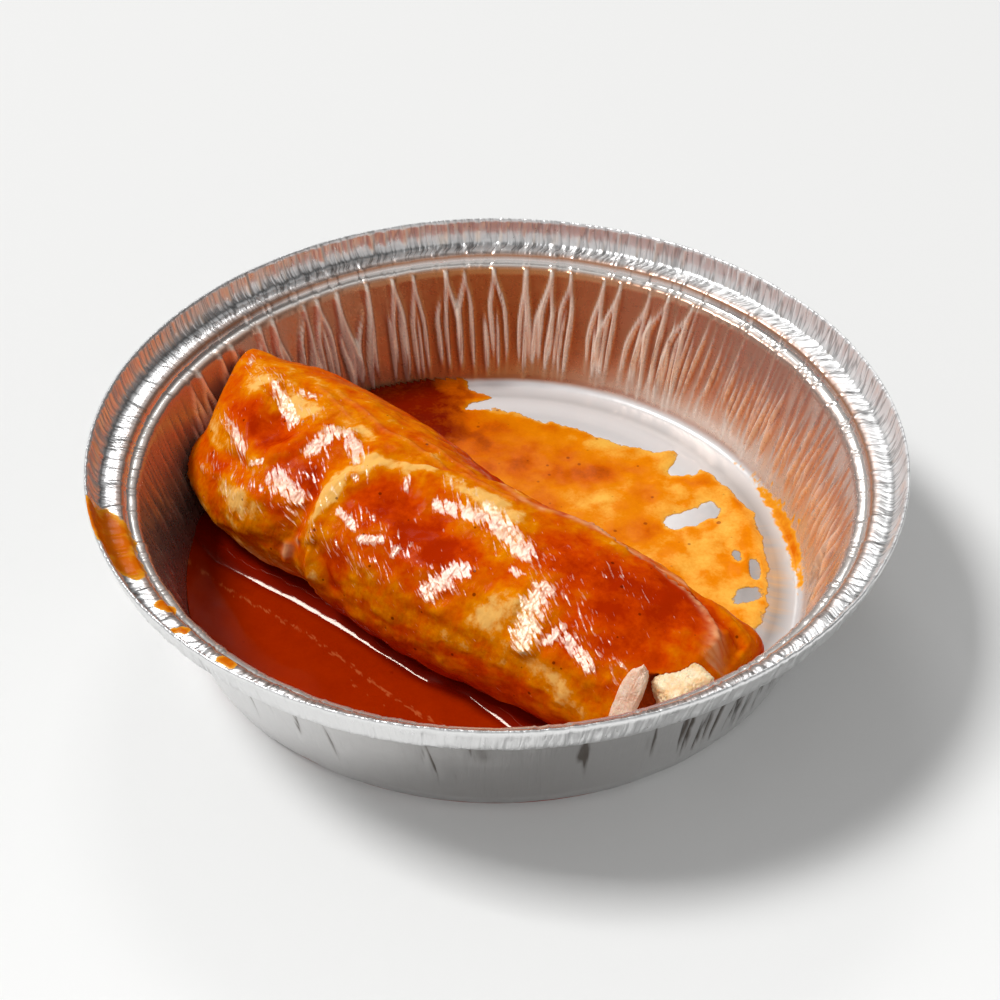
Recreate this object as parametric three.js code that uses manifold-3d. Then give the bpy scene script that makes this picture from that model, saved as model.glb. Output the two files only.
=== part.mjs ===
// Round foil takeaway pan holding one rolled, filled flour tortilla in red chile sauce.
// Millimetres, +Z up. The origin is on the surface the pan stands on, under its middle.

import * as THREE from 'three';
import { mergeVertices } from 'three/addons/utils/BufferGeometryUtils.js';
import Module from 'manifold-3d';

const { clamp, degToRad, lerp, radToDeg, smoothstep } = THREE.MathUtils;

// Gap kept between pieces that touch
const GAP = 0.3;

// Foil pan: a standard 7 inch round pan with an upright flared flange
const PAN = {
  sheet: 0.8,
  rimRadius: 92,
  height: 43.5,
  flangeFoot: 89.5,
  flangeFootZ: 37.2,
  ledgeInner: 84.9,
  ledgeInnerZ: 36.4,
  stepFoot: 84.2,
  stepFootZ: 33.9,
  wallTop: 81.7,
  wallTopZ: 33.2,
  wallFoot: 74.5,
  wallFootZ: 2.6,
  wallBands: [0.35, 0.8],
  ringOuter: 73,
  ringInner: 67.5,
  ringZ: 0.8,
  ridgeOuter: 64,
  ridgeInner: 59,
  ridgeZ: 1.8,
  panelRadius: 56.5,
  panelZ: 1.3,
  pleats: 48,
  pleatDepth: 0.5,
  fluteDepth: 0.3,
  unevenness: 0.25,
};

// Roll, in its own frame: X along the roll, Y across it, Z up
const ROLL = {
  turn: degToRad(-40),
  leftEnd: -76,
  rightEnd: 74.4,
  rest: 2.15,
  settle: 1.2,
  leftSlant: -0.55,
  leftReach: [-75, -20],
  leftToe: 13,
  leftToeAt: 192,
  leftToeSpread: 36,
  leftSquareness: 5,
  rightSquareness: 11,
  wallGap: 1,
  wrap: 4.5,
  sections: 36,
  around: 48,
};

// Plumpness along the roll: half width, half height and offset across the pan
const STATIONS = [
  { x: -82, wide: 22, high: 16.5, side: -16 },
  { x: -65, wide: 24.5, high: 17.8, side: -18.1 },
  { x: -45, wide: 27, high: 19, side: -19.8 },
  { x: -20, wide: 25.2, high: 18.8, side: -19.8 },
  { x: 10, wide: 23.2, high: 18.2, side: -22.2 },
  { x: 40, wide: 21.8, high: 17.2, side: -18.8 },
  { x: 60, wide: 21, high: 15.5, side: -16.4 },
  { x: 78, wide: 19.5, high: 13.6, side: -12.5 },
];

// Outer flap of the tortilla: millimetres along the roll, degrees around it
const FLAP = {
  thick: 1.6,
  leftEdge: -21,
  rightEdge: 71,
  backEdge: 48,
  backWave: 10,
  waveLength: 46,
  waveCrest: 20,
  leftClimb: 34,
  leftRun: 26,
  rightClimb: 14,
  rightRun: 21,
  tuckedUnder: [235, 262],
  soft: 1.4,
};

// Raised folds: ends as [along, degrees], width and height in millimetres
const FOLDS = [
  { from: [-18, 96], to: [-18, 176], width: 4.2, height: 1.5 },
  { from: [-14, 84], to: [20, 82], width: 4.5, height: 0.9 },
  { from: [-8, 131], to: [57, 127], width: 5, height: 0.8 },
  { from: [-41, 120], to: [-33, 97], width: 3, height: 1.2 },
  { from: [-58, 84], to: [-57, 112], width: 5, height: 1.4 },
  { from: [-30, 70], to: [60, 52], width: 5, height: 0.5 },
];

// Dents, and bulges where the depth is negative: sizes along and around in millimetres
const DENTS = [
  { at: [-45, 105], size: [7.5, 6.5], depth: 3.2 },
  { at: [6, 111], size: [20, 6], depth: 1.9 },
  { at: [-24, 150], size: [3.2, 15], depth: 2.4 },
  { at: [-52, 139], size: [7, 2.4], depth: 2.6 },
  { at: [-38, 157], size: [11, 8], depth: -1.6 },
  { at: [35, 124], size: [7, 6], depth: -0.9 },
  { at: [66, 92], size: [10, 8], depth: 1.2 },
  { at: [-71, 60], size: [7, 7], depth: -3.6 },
];
const MM_PER_DEGREE = 0.41;

// Openings at the right end: the torn mouth, and the gap beside the tucked tongue
const MOUTH = { at: [68.5, -31, 23], size: [9.5, 10, 7.5], turn: [0, 0, 0.3] };
const END_GAP = { at: [76, -8, 13], size: [7, 2.6, 8.5], turn: [0, 0, 0.2] };

// Filling that runs through the roll, and the two pale pieces of it in the mouth
const CORE = { leftEnd: -66, rightEnd: 64, sections: 14, around: 24 };
const STRIP = { at: [63.2, -34.4, 25.4], size: [2.3, 3, 6.8], turn: [-0.45, 0.1, 0.2], lumps: 0.14 };
const CHUNK = { at: [70.3, -26.4, 24.2], size: [3.8, 6.2, 4.8], turn: [0.1, -0.1, -0.35], lumps: 0.18 };
const LUMP_WAVES = { x: [4.1, 1.3], y: [3.3, 0.4], z: [5.2, 0] };

// Sauce: a pool on the near side, and a smear on the floor behind that mounds up at the left
const POOL = { level: 4.3, nearSide: -34, segments: 72 };
const SMEAR = {
  film: 0.6,
  mound: 2.6,
  moundAt: [-38, 58],
  moundReach: 26,
  tallest: 10,
  segments: 72,
  outlineSteps: 57,
  patchSteps: 14,
};
const SMEAR_OUTLINE = [
  [-52, 52], [-30, 68], [-4, 71], [-9, 61], [0, 61], [13, 56], [23, 51], [35, 45], [43, 45], [48, 40],
  [46, 33], [55, 33], [62, 24], [66, 12], [66, -4], [62, -20], [48, -36], [20, -12], [-20, 18],
];
const BARE_PATCHES = [
  { at: [49, 16], size: [7.5, 4.5], turn: 0.5 },
  { at: [60, -12], size: [3, 4.5], turn: 0 },
];

// Closed geometry to a solid and back

const wasm = await Module();
wasm.setup();

function closed(geometry) {
  const bare = geometry.clone();
  bare.deleteAttribute('normal');
  bare.deleteAttribute('uv');
  return mergeVertices(bare, 1e-4);
}

function toSolid(geometry) {
  const merged = closed(geometry);
  return new wasm.Manifold(new wasm.Mesh({
    numProp: 3,
    vertProperties: new Float32Array(merged.attributes.position.array),
    triVerts: new Uint32Array(merged.index.array),
  }));
}

function toGeometry(solid) {
  const mesh = solid.getMesh();
  const geometry = new THREE.BufferGeometry();
  geometry.setAttribute('position', new THREE.BufferAttribute(mesh.vertProperties, mesh.numProp));
  geometry.setIndex(new THREE.BufferAttribute(mesh.triVerts, 1));
  geometry.computeVertexNormals();
  return geometry;
}

function largestPiece(solid) {
  const pieces = solid.decompose();
  return pieces.reduce((best, piece) => (piece.volume() > best.volume() ? piece : best));
}

// Moves every vertex of a geometry by shape(point)
function reshaped(geometry, shape) {
  const merged = closed(geometry);
  const place = merged.attributes.position;
  const point = new THREE.Vector3();
  for (let i = 0; i < place.count; i += 1) {
    point.fromBufferAttribute(place, i);
    shape(point);
    place.setXYZ(i, point.x, point.y, point.z);
  }
  return merged;
}

function lathe(profile, segments) {
  const points = profile.map(([radius, height]) => new THREE.Vector2(radius, height));
  return new THREE.LatheGeometry(points, segments).rotateX(Math.PI / 2);
}

// Foil pan

// Inner face from the middle of the floor out to the rim, as [radius, height]
const FLOOR_FACE = [
  [0, PAN.panelZ],
  [PAN.panelRadius, PAN.panelZ],
  [PAN.ridgeInner, PAN.ridgeZ],
  [PAN.ridgeOuter, PAN.ridgeZ],
  [PAN.ringInner, PAN.ringZ],
  [PAN.ringOuter, PAN.ringZ],
];
const WALL_FACE = [
  [PAN.wallFoot, PAN.wallFootZ],
  ...PAN.wallBands.map((share) => [
    lerp(PAN.wallFoot, PAN.wallTop, share),
    lerp(PAN.wallFootZ, PAN.wallTopZ, share),
  ]),
  [PAN.wallTop, PAN.wallTopZ],
  [PAN.stepFoot, PAN.stepFootZ],
  [PAN.ledgeInner, PAN.ledgeInnerZ],
  [PAN.flangeFoot, PAN.flangeFootZ],
  [PAN.rimRadius - PAN.sheet, PAN.height - PAN.sheet / 2],
];

// A face moved outwards by the thickness of the sheet
function outside(face, distance) {
  return face.map(([radius, height], i) => {
    const before = face[Math.max(i - 1, 0)];
    const after = face[Math.min(i + 1, face.length - 1)];
    const way = new THREE.Vector2(after[0] - before[0], after[1] - before[1]).normalize();
    return [radius + way.y * distance, height - way.x * distance];
  });
}

function floorHeight(radius) {
  const next = FLOOR_FACE.findIndex(([r]) => r >= radius);
  if (next === 0) {
    return PAN.panelZ;
  }
  const [innerRadius, innerZ] = FLOOR_FACE[next - 1];
  const [outerRadius, outerZ] = FLOOR_FACE[next];
  return lerp(innerZ, outerZ, (radius - innerRadius) / (outerRadius - innerRadius));
}

function wallRadius(height) {
  const share = (height - PAN.wallFootZ) / (PAN.wallTopZ - PAN.wallFootZ);
  return lerp(PAN.wallFoot, PAN.wallTop, clamp(share, 0, 1));
}

// Pleats of the ledge and rim, and wrinkles down the wall
function crimp(point) {
  const radius = Math.hypot(point.x, point.y);
  const angle = Math.atan2(point.y, point.x);
  const uneven = 1 - PAN.unevenness * (1 - Math.sin(5 * angle) * Math.sin(11 * angle));
  const wave = Math.cos(PAN.pleats * angle) * uneven;
  let push = 0;
  if (radius > PAN.rimRadius - 2) {
    push = (wave - 1) * PAN.pleatDepth / 2;
  } else if (radius > PAN.flangeFoot - 1) {
    point.z += wave * PAN.pleatDepth;
  } else if (radius < PAN.stepFoot && point.z > PAN.wallFootZ + 1) {
    push = wave * PAN.fluteDepth;
  }
  point.x *= 1 + push / radius;
  point.y *= 1 + push / radius;
}

function foilPan() {
  const underside = FLOOR_FACE.map(([radius, height]) => [radius, height - PAN.sheet]);
  const skirt = outside(WALL_FACE, PAN.sheet);
  const lip = [PAN.rimRadius - PAN.sheet / 2, PAN.height];
  const inside = [...FLOOR_FACE, ...WALL_FACE].reverse();
  return reshaped(lathe([...underside, ...skirt, lip, ...inside], PAN.pleats * 2), crimp);
}

// Keeps a point inside the pan's wall
function leanOnWall(point, gap) {
  const radius = Math.hypot(point.x, point.y);
  const limit = wallRadius(point.z) - gap;
  if (radius > limit) {
    point.x *= limit / radius;
    point.y *= limit / radius;
  }
}

// Rolled tortilla

// Value of one measure at x, on a smooth curve through the stations
function measure(key, x) {
  const above = STATIONS.findIndex((station) => station.x > x);
  const first = clamp(above - 1, 0, STATIONS.length - 2);
  const near = [-1, 0, 1, 2].map((k) => STATIONS[clamp(first + k, 0, STATIONS.length - 1)]);
  const span = near[2].x - near[1].x;
  const t = clamp((x - near[1].x) / span, 0, 1);
  const slopeIn = span * (near[2][key] - near[0][key]) / (near[2].x - near[0].x);
  const slopeOut = span * (near[3][key] - near[1][key]) / (near[3].x - near[1].x);
  const rise = near[2][key] - near[1][key];
  const square = 3 * rise - 2 * slopeIn - slopeOut;
  const cube = slopeIn + slopeOut - 2 * rise;
  return near[1][key] + t * (slopeIn + t * (square + t * cube));
}

// Angle of the flap's lapped back edge
function flapBack(x) {
  const wave = FLAP.backWave * Math.cos(2 * Math.PI * (x - FLAP.waveCrest) / FLAP.waveLength);
  const left = FLAP.leftClimb * (1 - smoothstep(x, FLAP.leftEdge, FLAP.leftEdge + FLAP.leftRun));
  const right = FLAP.rightClimb * smoothstep(x, FLAP.rightEdge - FLAP.rightRun, FLAP.rightEdge);
  return FLAP.backEdge + wave + left + right;
}

function flapHeight(x, degrees) {
  const behind = (degrees - flapBack(x)) * MM_PER_DEGREE;
  const inBack = smoothstep(behind, -FLAP.soft, FLAP.soft);
  const inLeft = smoothstep(x, FLAP.leftEdge - FLAP.soft, FLAP.leftEdge + FLAP.soft);
  const inRight = 1 - smoothstep(x, FLAP.rightEdge - FLAP.soft, FLAP.rightEdge + FLAP.soft);
  const under = 1 - smoothstep(degrees, ...FLAP.tuckedUnder);
  return FLAP.thick * inBack * inLeft * inRight * under;
}

function foldHeight({ from, to, width, height }, x, degrees) {
  const place = new THREE.Vector3(x, degrees * MM_PER_DEGREE, 0);
  const ridge = new THREE.Line3(
    new THREE.Vector3(from[0], from[1] * MM_PER_DEGREE, 0),
    new THREE.Vector3(to[0], to[1] * MM_PER_DEGREE, 0),
  );
  const away = ridge.closestPointToPoint(place, true, new THREE.Vector3()).distanceTo(place);
  return height * Math.exp(-((away / width) ** 2));
}

function dentHeight({ at, size, depth }, x, degrees) {
  const along = (x - at[0]) / size[0];
  const around = (degrees - at[1]) * MM_PER_DEGREE / size[1];
  return -depth * Math.exp(-(along ** 2) - (around ** 2));
}

function relief(x, degrees) {
  const folds = FOLDS.reduce((sum, fold) => sum + foldHeight(fold, x, degrees), 0);
  const dents = DENTS.reduce((sum, dent) => sum + dentHeight(dent, x, degrees), 0);
  return flapHeight(x, degrees) + folds + dents;
}

function intoPan(point) {
  return point.applyAxisAngle(new THREE.Vector3(0, 0, 1), ROLL.turn);
}

// A ball whose poles are the roll's ends, stretched over the roll's section at each place.
// inset shrinks the form all round; reliefAt gives the height of its folds.
function rollForm({ leftEnd, rightEnd, sections, around }, inset, reliefAt) {
  const ball = new THREE.SphereGeometry(1, around, sections).rotateZ(-Math.PI / 2);
  const middle = (leftEnd + rightEnd) / 2;
  const half = (rightEnd - leftEnd) / 2;
  return reshaped(ball, (point) => {
    const end = clamp(point.x, -1, 1);
    const x = middle + half * end;
    const turned = radToDeg(Math.atan2(point.z, point.y));
    const degrees = turned < -90 ? turned + 360 : turned;
    const power = end < 0 ? ROLL.leftSquareness : ROLL.rightSquareness;
    const closing = (1 - Math.abs(end) ** power) ** (1 / power);
    const rise = reliefAt(x, degrees) - inset;
    const wide = (measure('wide', x) + rise) * closing;
    const high = (measure('high', x) + rise) * closing;
    const centreZ = ROLL.rest - ROLL.settle + measure('high', x);
    const across = wide * Math.cos(degToRad(degrees));
    const height = Math.max(centreZ + high * Math.sin(degToRad(degrees)), ROLL.rest + inset);
    const aroundToe = (degrees - ROLL.leftToeAt) / ROLL.leftToeSpread;
    const toe = ROLL.leftToe * Math.exp(-(aroundToe ** 2)) * closing;
    const nearLeft = 1 - smoothstep(x, ...ROLL.leftReach);
    point.set(x + (ROLL.leftSlant * across - toe) * nearLeft, measure('side', x) + across, height);
    intoPan(point);
    leanOnWall(point, ROLL.wallGap + inset);
  });
}

// Ball with half sizes, turned and placed in the roll's frame, its surface uneven by lumps
function lumpyBall({ at, size, turn, lumps = 0 }, inset = 0) {
  const ball = reshaped(new THREE.IcosahedronGeometry(1, 3), (point) => {
    const [acrossX, acrossY, acrossZ] = ['x', 'y', 'z'].map((side) => {
      const [waves, start] = LUMP_WAVES[side];
      return Math.sin(waves * point[side] + start);
    });
    point.multiplyScalar(1 + lumps * (acrossX * acrossY + acrossZ) / 2);
  });
  ball.scale(size[0] - inset, size[1] - inset, size[2] - inset);
  ball.rotateX(turn[0]).rotateY(turn[1]).rotateZ(turn[2]);
  ball.translate(...at);
  return reshaped(ball, (point) => {
    intoPan(point);
    if (lumps > 0) {
      leanOnWall(point, ROLL.wallGap);
    }
  });
}

function longer(form) {
  return { ...form, leftEnd: form.leftEnd - GAP, rightEnd: form.rightEnd + GAP };
}

const flat = () => 0;
const mouth = toSolid(lumpyBall(MOUTH));
const rollSolid = toSolid(rollForm(ROLL, 0, relief));
const coreSolid = toSolid(rollForm(CORE, ROLL.wrap, flat));
const rollGrown = toSolid(rollForm(longer(ROLL), -GAP, relief));
const coreGrown = toSolid(rollForm(longer(CORE), ROLL.wrap - GAP, flat));
const mouthShrunk = toSolid(lumpyBall(MOUTH, GAP));
const endGap = toSolid(lumpyBall(END_GAP));

const tortilla = largestPiece(rollSolid.subtract(mouth).subtract(coreGrown).subtract(endGap));
const wrapGrown = rollGrown.subtract(mouthShrunk).add(coreGrown);
const chunk = largestPiece(toSolid(lumpyBall(CHUNK)).subtract(wrapGrown));
const chunkGrown = toSolid(lumpyBall(CHUNK, -GAP));
const strip = largestPiece(toSolid(lumpyBall(STRIP)).subtract(wrapGrown).subtract(chunkGrown));

// Sauce

// Underside of the sauce, just above the floor, as [radius, height]
const SAUCE_BED = FLOOR_FACE.map(([radius, height]) => [
  Math.min(radius, PAN.ringOuter - GAP),
  height + GAP,
]);

// Box on one side of a line across the roll, in the pan's frame
function sideBox(near, far, low, high) {
  const reach = PAN.rimRadius * 2;
  const box = new THREE.BoxGeometry(reach, Math.abs(far - near), high - low);
  box.translate(0, (near + far) / 2, (low + high) / 2);
  return toSolid(box.rotateZ(ROLL.turn));
}

function saucePool() {
  const shore = wallRadius(POOL.level) - PAN.fluteDepth - GAP;
  const foot = [wallRadius(PAN.wallFootZ) - PAN.fluteDepth - GAP, PAN.wallFootZ + GAP];
  const body = toSolid(lathe([...SAUCE_BED, foot, [shore, POOL.level], [0, POOL.level]], POOL.segments));
  const nearSide = sideBox(POOL.nearSide, -PAN.rimRadius, 0, POOL.level + 1);
  return largestPiece(body.intersect(nearSide).subtract(rollGrown));
}

function smearOutline() {
  const corners = [...SMEAR_OUTLINE, SMEAR_OUTLINE[0]].map(([x, y]) => new THREE.Vector2(x, y));
  const shape = new THREE.Shape(new THREE.SplineCurve(corners).getPoints(SMEAR.outlineSteps));
  BARE_PATCHES.forEach(({ at, size, turn }) => {
    const patch = new THREE.EllipseCurve(...at, ...size, 0, 2 * Math.PI, false, turn);
    shape.holes.push(new THREE.Path(patch.getPoints(SMEAR.patchSteps)));
  });
  return toSolid(new THREE.ExtrudeGeometry(shape, { depth: SMEAR.tallest, bevelEnabled: false }));
}

function sauceSmear() {
  const top = SAUCE_BED.map(([radius, height]) => [radius, height + SMEAR.film]).reverse();
  const film = reshaped(lathe([...SAUCE_BED, ...top], SMEAR.segments), (point) => {
    const radius = Math.hypot(point.x, point.y);
    const onTop = point.z > floorHeight(radius) + GAP + SMEAR.film / 2;
    const away = Math.hypot(point.x - SMEAR.moundAt[0], point.y - SMEAR.moundAt[1]);
    point.z += onTop ? SMEAR.mound * Math.exp(-((away / SMEAR.moundReach) ** 2)) : 0;
  });
  return largestPiece(toSolid(film).intersect(smearOutline()).subtract(rollGrown));
}

// The dressed pan

const FINISHES = {
  foil: { color: 0xc9cbcc, roughness: 0.3, metalness: 1 },
  saucedTortilla: { color: 0xd9861c, roughness: 0.35 },
  filling: { color: 0x8a3a14, roughness: 0.5 },
  paleStrip: { color: 0xe6bf93, roughness: 0.55 },
  paleChunk: { color: 0xe8c48c, roughness: 0.5 },
  chileSauce: { color: 0x9c2804, roughness: 0.1 },
  thinSauce: { color: 0xe08a1c, roughness: 0.3 },
};

function piece(name, geometry, finish) {
  const mesh = new THREE.Mesh(geometry, new THREE.MeshStandardMaterial(finish));
  mesh.name = name;
  return mesh;
}

const dish = new THREE.Group();
dish.add(
  piece('foil_pan', foilPan(), FINISHES.foil),
  piece('tortilla', toGeometry(tortilla), FINISHES.saucedTortilla),
  piece('filling', toGeometry(coreSolid.subtract(mouth)), FINISHES.filling),
  piece('pale_strip', toGeometry(strip), FINISHES.paleStrip),
  piece('pale_chunk', toGeometry(chunk), FINISHES.paleChunk),
  piece('sauce_pool', toGeometry(saucePool()), FINISHES.chileSauce),
  piece('sauce_smear', toGeometry(sauceSmear()), FINISHES.thinSauce),
);

export default dish;
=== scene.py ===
"""Looks of a round foil pan that holds one rolled, filled tortilla in chile sauce.

Sizes are in millimetres, as in the part's source, and meshes are made in metres. The pan
stands on Z = 0 under its middle. The roll has a frame of its own, X along it, Y across it
and Z up, and a place on its skin is given by X and by the angle round its section: 0 at the
back, 90 on top and 180 at the front.
"""

import itertools
import logging
import math
from dataclasses import dataclass
from enum import Enum
from typing import Callable, Sequence

import bmesh
import bpy
import numpy as np
from mathutils import Matrix, Vector, kdtree


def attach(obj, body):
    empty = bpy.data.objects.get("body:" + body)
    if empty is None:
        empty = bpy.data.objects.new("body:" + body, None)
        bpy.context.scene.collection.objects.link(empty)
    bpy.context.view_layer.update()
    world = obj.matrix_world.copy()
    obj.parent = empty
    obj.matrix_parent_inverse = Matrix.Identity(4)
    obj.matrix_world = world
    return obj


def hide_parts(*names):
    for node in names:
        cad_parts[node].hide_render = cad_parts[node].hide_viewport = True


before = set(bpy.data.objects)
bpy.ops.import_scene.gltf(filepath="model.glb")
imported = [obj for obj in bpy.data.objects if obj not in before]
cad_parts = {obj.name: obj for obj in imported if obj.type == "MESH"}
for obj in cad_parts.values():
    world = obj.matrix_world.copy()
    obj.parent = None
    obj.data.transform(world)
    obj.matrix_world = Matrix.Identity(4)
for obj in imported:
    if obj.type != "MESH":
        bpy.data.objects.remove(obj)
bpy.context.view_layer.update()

LOG = logging.getLogger("dressed_pan")
MM = 0.001
FULL_TURN = 2 * math.pi


# Small tools


def tone(red: float, green: float, blue: float) -> tuple[float, float, float, float]:
    """Colour as the eye reads it, in 0 to 255 steps, turned into the renderer's values.

    Args:
        red: red step.
        green: green step.
        blue: blue step.

    Returns:
        Linear red, green and blue with full alpha.
    """
    steps = np.array([red, green, blue]) / 255
    low = steps / 12.92
    high = ((steps + 0.055) / 1.055) ** 2.4
    linear = np.where(steps <= 0.04045, low, high)
    return (float(linear[0]), float(linear[1]), float(linear[2]), 1.0)


def ease(value: np.ndarray, low: float, high: float) -> np.ndarray:
    """Smooth step, 0 where the value is low or less and 1 where it is high or more."""
    share = np.clip((value - low) / (high - low), 0, 1)
    return share * share * (3 - 2 * share)


def bell(distance: np.ndarray) -> np.ndarray:
    """Bell curve of height 1 at distance 0."""
    return np.exp(-(distance**2))


@dataclass(frozen=True)
class Unevenness:
    """Seeded gradient noise over points in space.

    Attributes:
        seed: picks the pattern.
    """

    seed: int

    def _slope(self, cell: np.ndarray) -> np.ndarray:
        """Pseudo-random unit slopes at whole-number corners.

        Args:
            cell: corners, one a row.

        Returns:
            One slope a row.
        """
        mask = np.uint64(0xFFFFFFFF)
        keys = cell.astype(np.int64).astype(np.uint64) & mask
        mixed = keys[:, 0] * np.uint64(374761393) + keys[:, 1] * np.uint64(668265263)
        mixed = mixed + keys[:, 2] * np.uint64(2246822519) + np.uint64(self.seed * 3266489917)
        mixed &= mask
        mixed = ((mixed ^ (mixed >> np.uint64(13))) * np.uint64(1274126177)) & mask
        mixed ^= mixed >> np.uint64(16)
        turn = (mixed & np.uint64(0xFFFF)).astype(float) / 65536 * FULL_TURN
        height = (mixed >> np.uint64(16)).astype(float) / 32768 - 1
        reach = np.sqrt(np.clip(1 - height**2, 0, 1))
        return np.stack([reach * np.cos(turn), reach * np.sin(turn), height], -1)

    def at(self, points: np.ndarray) -> np.ndarray:
        """Noise from about -1 to 1.

        Args:
            points: places, one a row, with features one unit apart.

        Returns:
            One value a row.
        """
        base = np.floor(points)
        inside = points - base
        fade = inside**3 * (inside * (inside * 6 - 15) + 10)
        total = np.zeros(len(points))
        for corner in itertools.product((0, 1), repeat=3):
            step = np.array(corner)
            share = np.prod(np.where(step == 1, fade, 1 - fade), axis=1)
            total += share * np.sum(self._slope(base + step) * (inside - step), axis=1)
        return total * 1.6

    def layered(self, points: np.ndarray, layers: int, fall: float = 0.5) -> np.ndarray:
        """Noise with finer and weaker layers added.

        Args:
            points: places, one a row.
            layers: how many layers.
            fall: strength of each layer next to the one before.

        Returns:
            One value a row.
        """
        total = np.zeros(len(points))
        for layer in range(layers):
            total += fall**layer * self.at(points * 2**layer + 17.3 * layer)
        return total


# Meshes


def grid_faces(rows: int, columns: int, closed: bool, offset: int = 0) -> np.ndarray:
    """Four-sided faces of a grid of points stored row by row.

    Args:
        rows: number of rows.
        columns: number of points in a row.
        closed: whether each row joins on to its own start.
        offset: index of the grid's first point.

    Returns:
        Point indices, one face a row.
    """
    last = columns if closed else columns - 1
    row, column = np.meshgrid(np.arange(rows - 1), np.arange(last), indexing="ij")
    after = (column + 1) % columns
    corners = [row * columns + column, row * columns + after]
    corners += [(row + 1) * columns + after, (row + 1) * columns + column]
    return np.stack(corners, -1).reshape(-1, 4) + offset


def closed_rings(rings: np.ndarray) -> tuple[np.ndarray, list[list[int]]]:
    """Closed shape over rings of points, with one more point in the middle of each end.

    Args:
        rings: points, one ring a row.

    Returns:
        Points with the two end points last, and faces.
    """
    rows, around = rings.shape[:2]
    flat = rings.reshape(-1, 3)
    first, last = len(flat), len(flat) + 1
    tail = (rows - 1) * around
    faces = grid_faces(rows, around, True)[:, ::-1].tolist()
    faces += [[first, i, (i + 1) % around] for i in range(around)]
    faces += [[last, tail + (i + 1) % around, tail + i] for i in range(around)]
    middles = np.stack([rings[0].mean(0), rings[-1].mean(0)])
    return np.concatenate([flat, middles]), faces


def make_object(name: str, points: np.ndarray, faces: Sequence[Sequence[int]]) -> bpy.types.Object:
    """Mesh object from points in millimetres, with its faces turned outwards.

    Args:
        name: name of the object.
        points: one point a row.
        faces: point indices of each face.

    Returns:
        The new object, in the scene.
    """
    mesh = bpy.data.meshes.new(name)
    mesh.from_pydata((np.asarray(points) * MM).tolist(), [], faces)
    mesh.validate()
    loose = bmesh.new()
    loose.from_mesh(mesh)
    bmesh.ops.recalc_face_normals(loose, faces=loose.faces)
    loose.to_mesh(mesh)
    loose.free()
    mesh.shade_smooth()
    made = bpy.data.objects.new(name, mesh)
    bpy.context.scene.collection.objects.link(made)
    return made


def paint(made: bpy.types.Object, name: str, values: np.ndarray) -> None:
    """Writes one number or one vector a point, for a material to read.

    Args:
        made: the object.
        name: name of the layer.
        values: numbers, or vectors in rows, in the order of the points.
    """
    given = np.asarray(values, dtype=np.float32)
    kind, part = ("FLOAT_VECTOR", "vector") if given.ndim == 2 else ("FLOAT", "value")
    layer = made.data.attributes.new(name, kind, "POINT")
    layer.data.foreach_set(part, given.ravel())


def slab(name: str, top: np.ndarray, bottom: np.ndarray, keep: np.ndarray) -> bpy.types.Object:
    """Closed thin solid between two grids of points, over the cells that are kept.

    Args:
        name: name of the object.
        top: upper points, rows by columns by 3.
        bottom: lower points, the same shape.
        keep: whether each cell between points is kept.

    Returns:
        The new object. Its points hold the upper ones first, then the lower ones.
    """
    rows, columns = top.shape[:2]
    cells = grid_faces(rows, columns, False)[keep.ravel()]
    edges = np.concatenate([cells[:, [i, (i + 1) % 4]] for i in range(4)])
    back = {(int(b), int(a)) for a, b in edges}
    rim = [(int(a), int(b)) for a, b in edges if (int(a), int(b)) not in back]
    size = rows * columns
    sides = [[a, a + size, b + size, b] for a, b in rim]
    faces = np.concatenate([cells, cells[:, ::-1] + size, np.array(sides)])
    used = np.unique(faces)
    place = np.full(2 * size, -1)
    place[used] = np.arange(len(used))
    points = np.concatenate([top.reshape(-1, 3), bottom.reshape(-1, 3)])[used]
    made = make_object(name, points, place[faces].tolist())
    layer = made.data.attributes.new("grid_point", "INT", "POINT")
    layer.data.foreach_set("value", (used % size).astype(np.int32))
    return made


def grid_points(made: bpy.types.Object) -> np.ndarray:
    """Grid index that each point of a slab came from."""
    found = np.zeros(len(made.data.vertices), dtype=np.int32)
    made.data.attributes["grid_point"].data.foreach_get("value", found)
    return found


def cut(made: bpy.types.Object, tool: bpy.types.Object) -> None:
    """Takes a closed shape out of another and drops the tool.

    Args:
        made: the object that is cut.
        tool: the closed shape that is taken away.
    """
    step = made.modifiers.new("cut", "BOOLEAN")
    step.operation = "DIFFERENCE"
    step.solver = "MANIFOLD"
    step.object = tool
    bpy.context.view_layer.update()
    seen = made.evaluated_get(bpy.context.evaluated_depsgraph_get())
    mesh = bpy.data.meshes.new_from_object(seen)
    made.modifiers.clear()
    mesh.materials.clear()
    made.data = mesh
    mesh.shade_smooth()
    bpy.data.objects.remove(tool)


# Shader nodes


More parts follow.
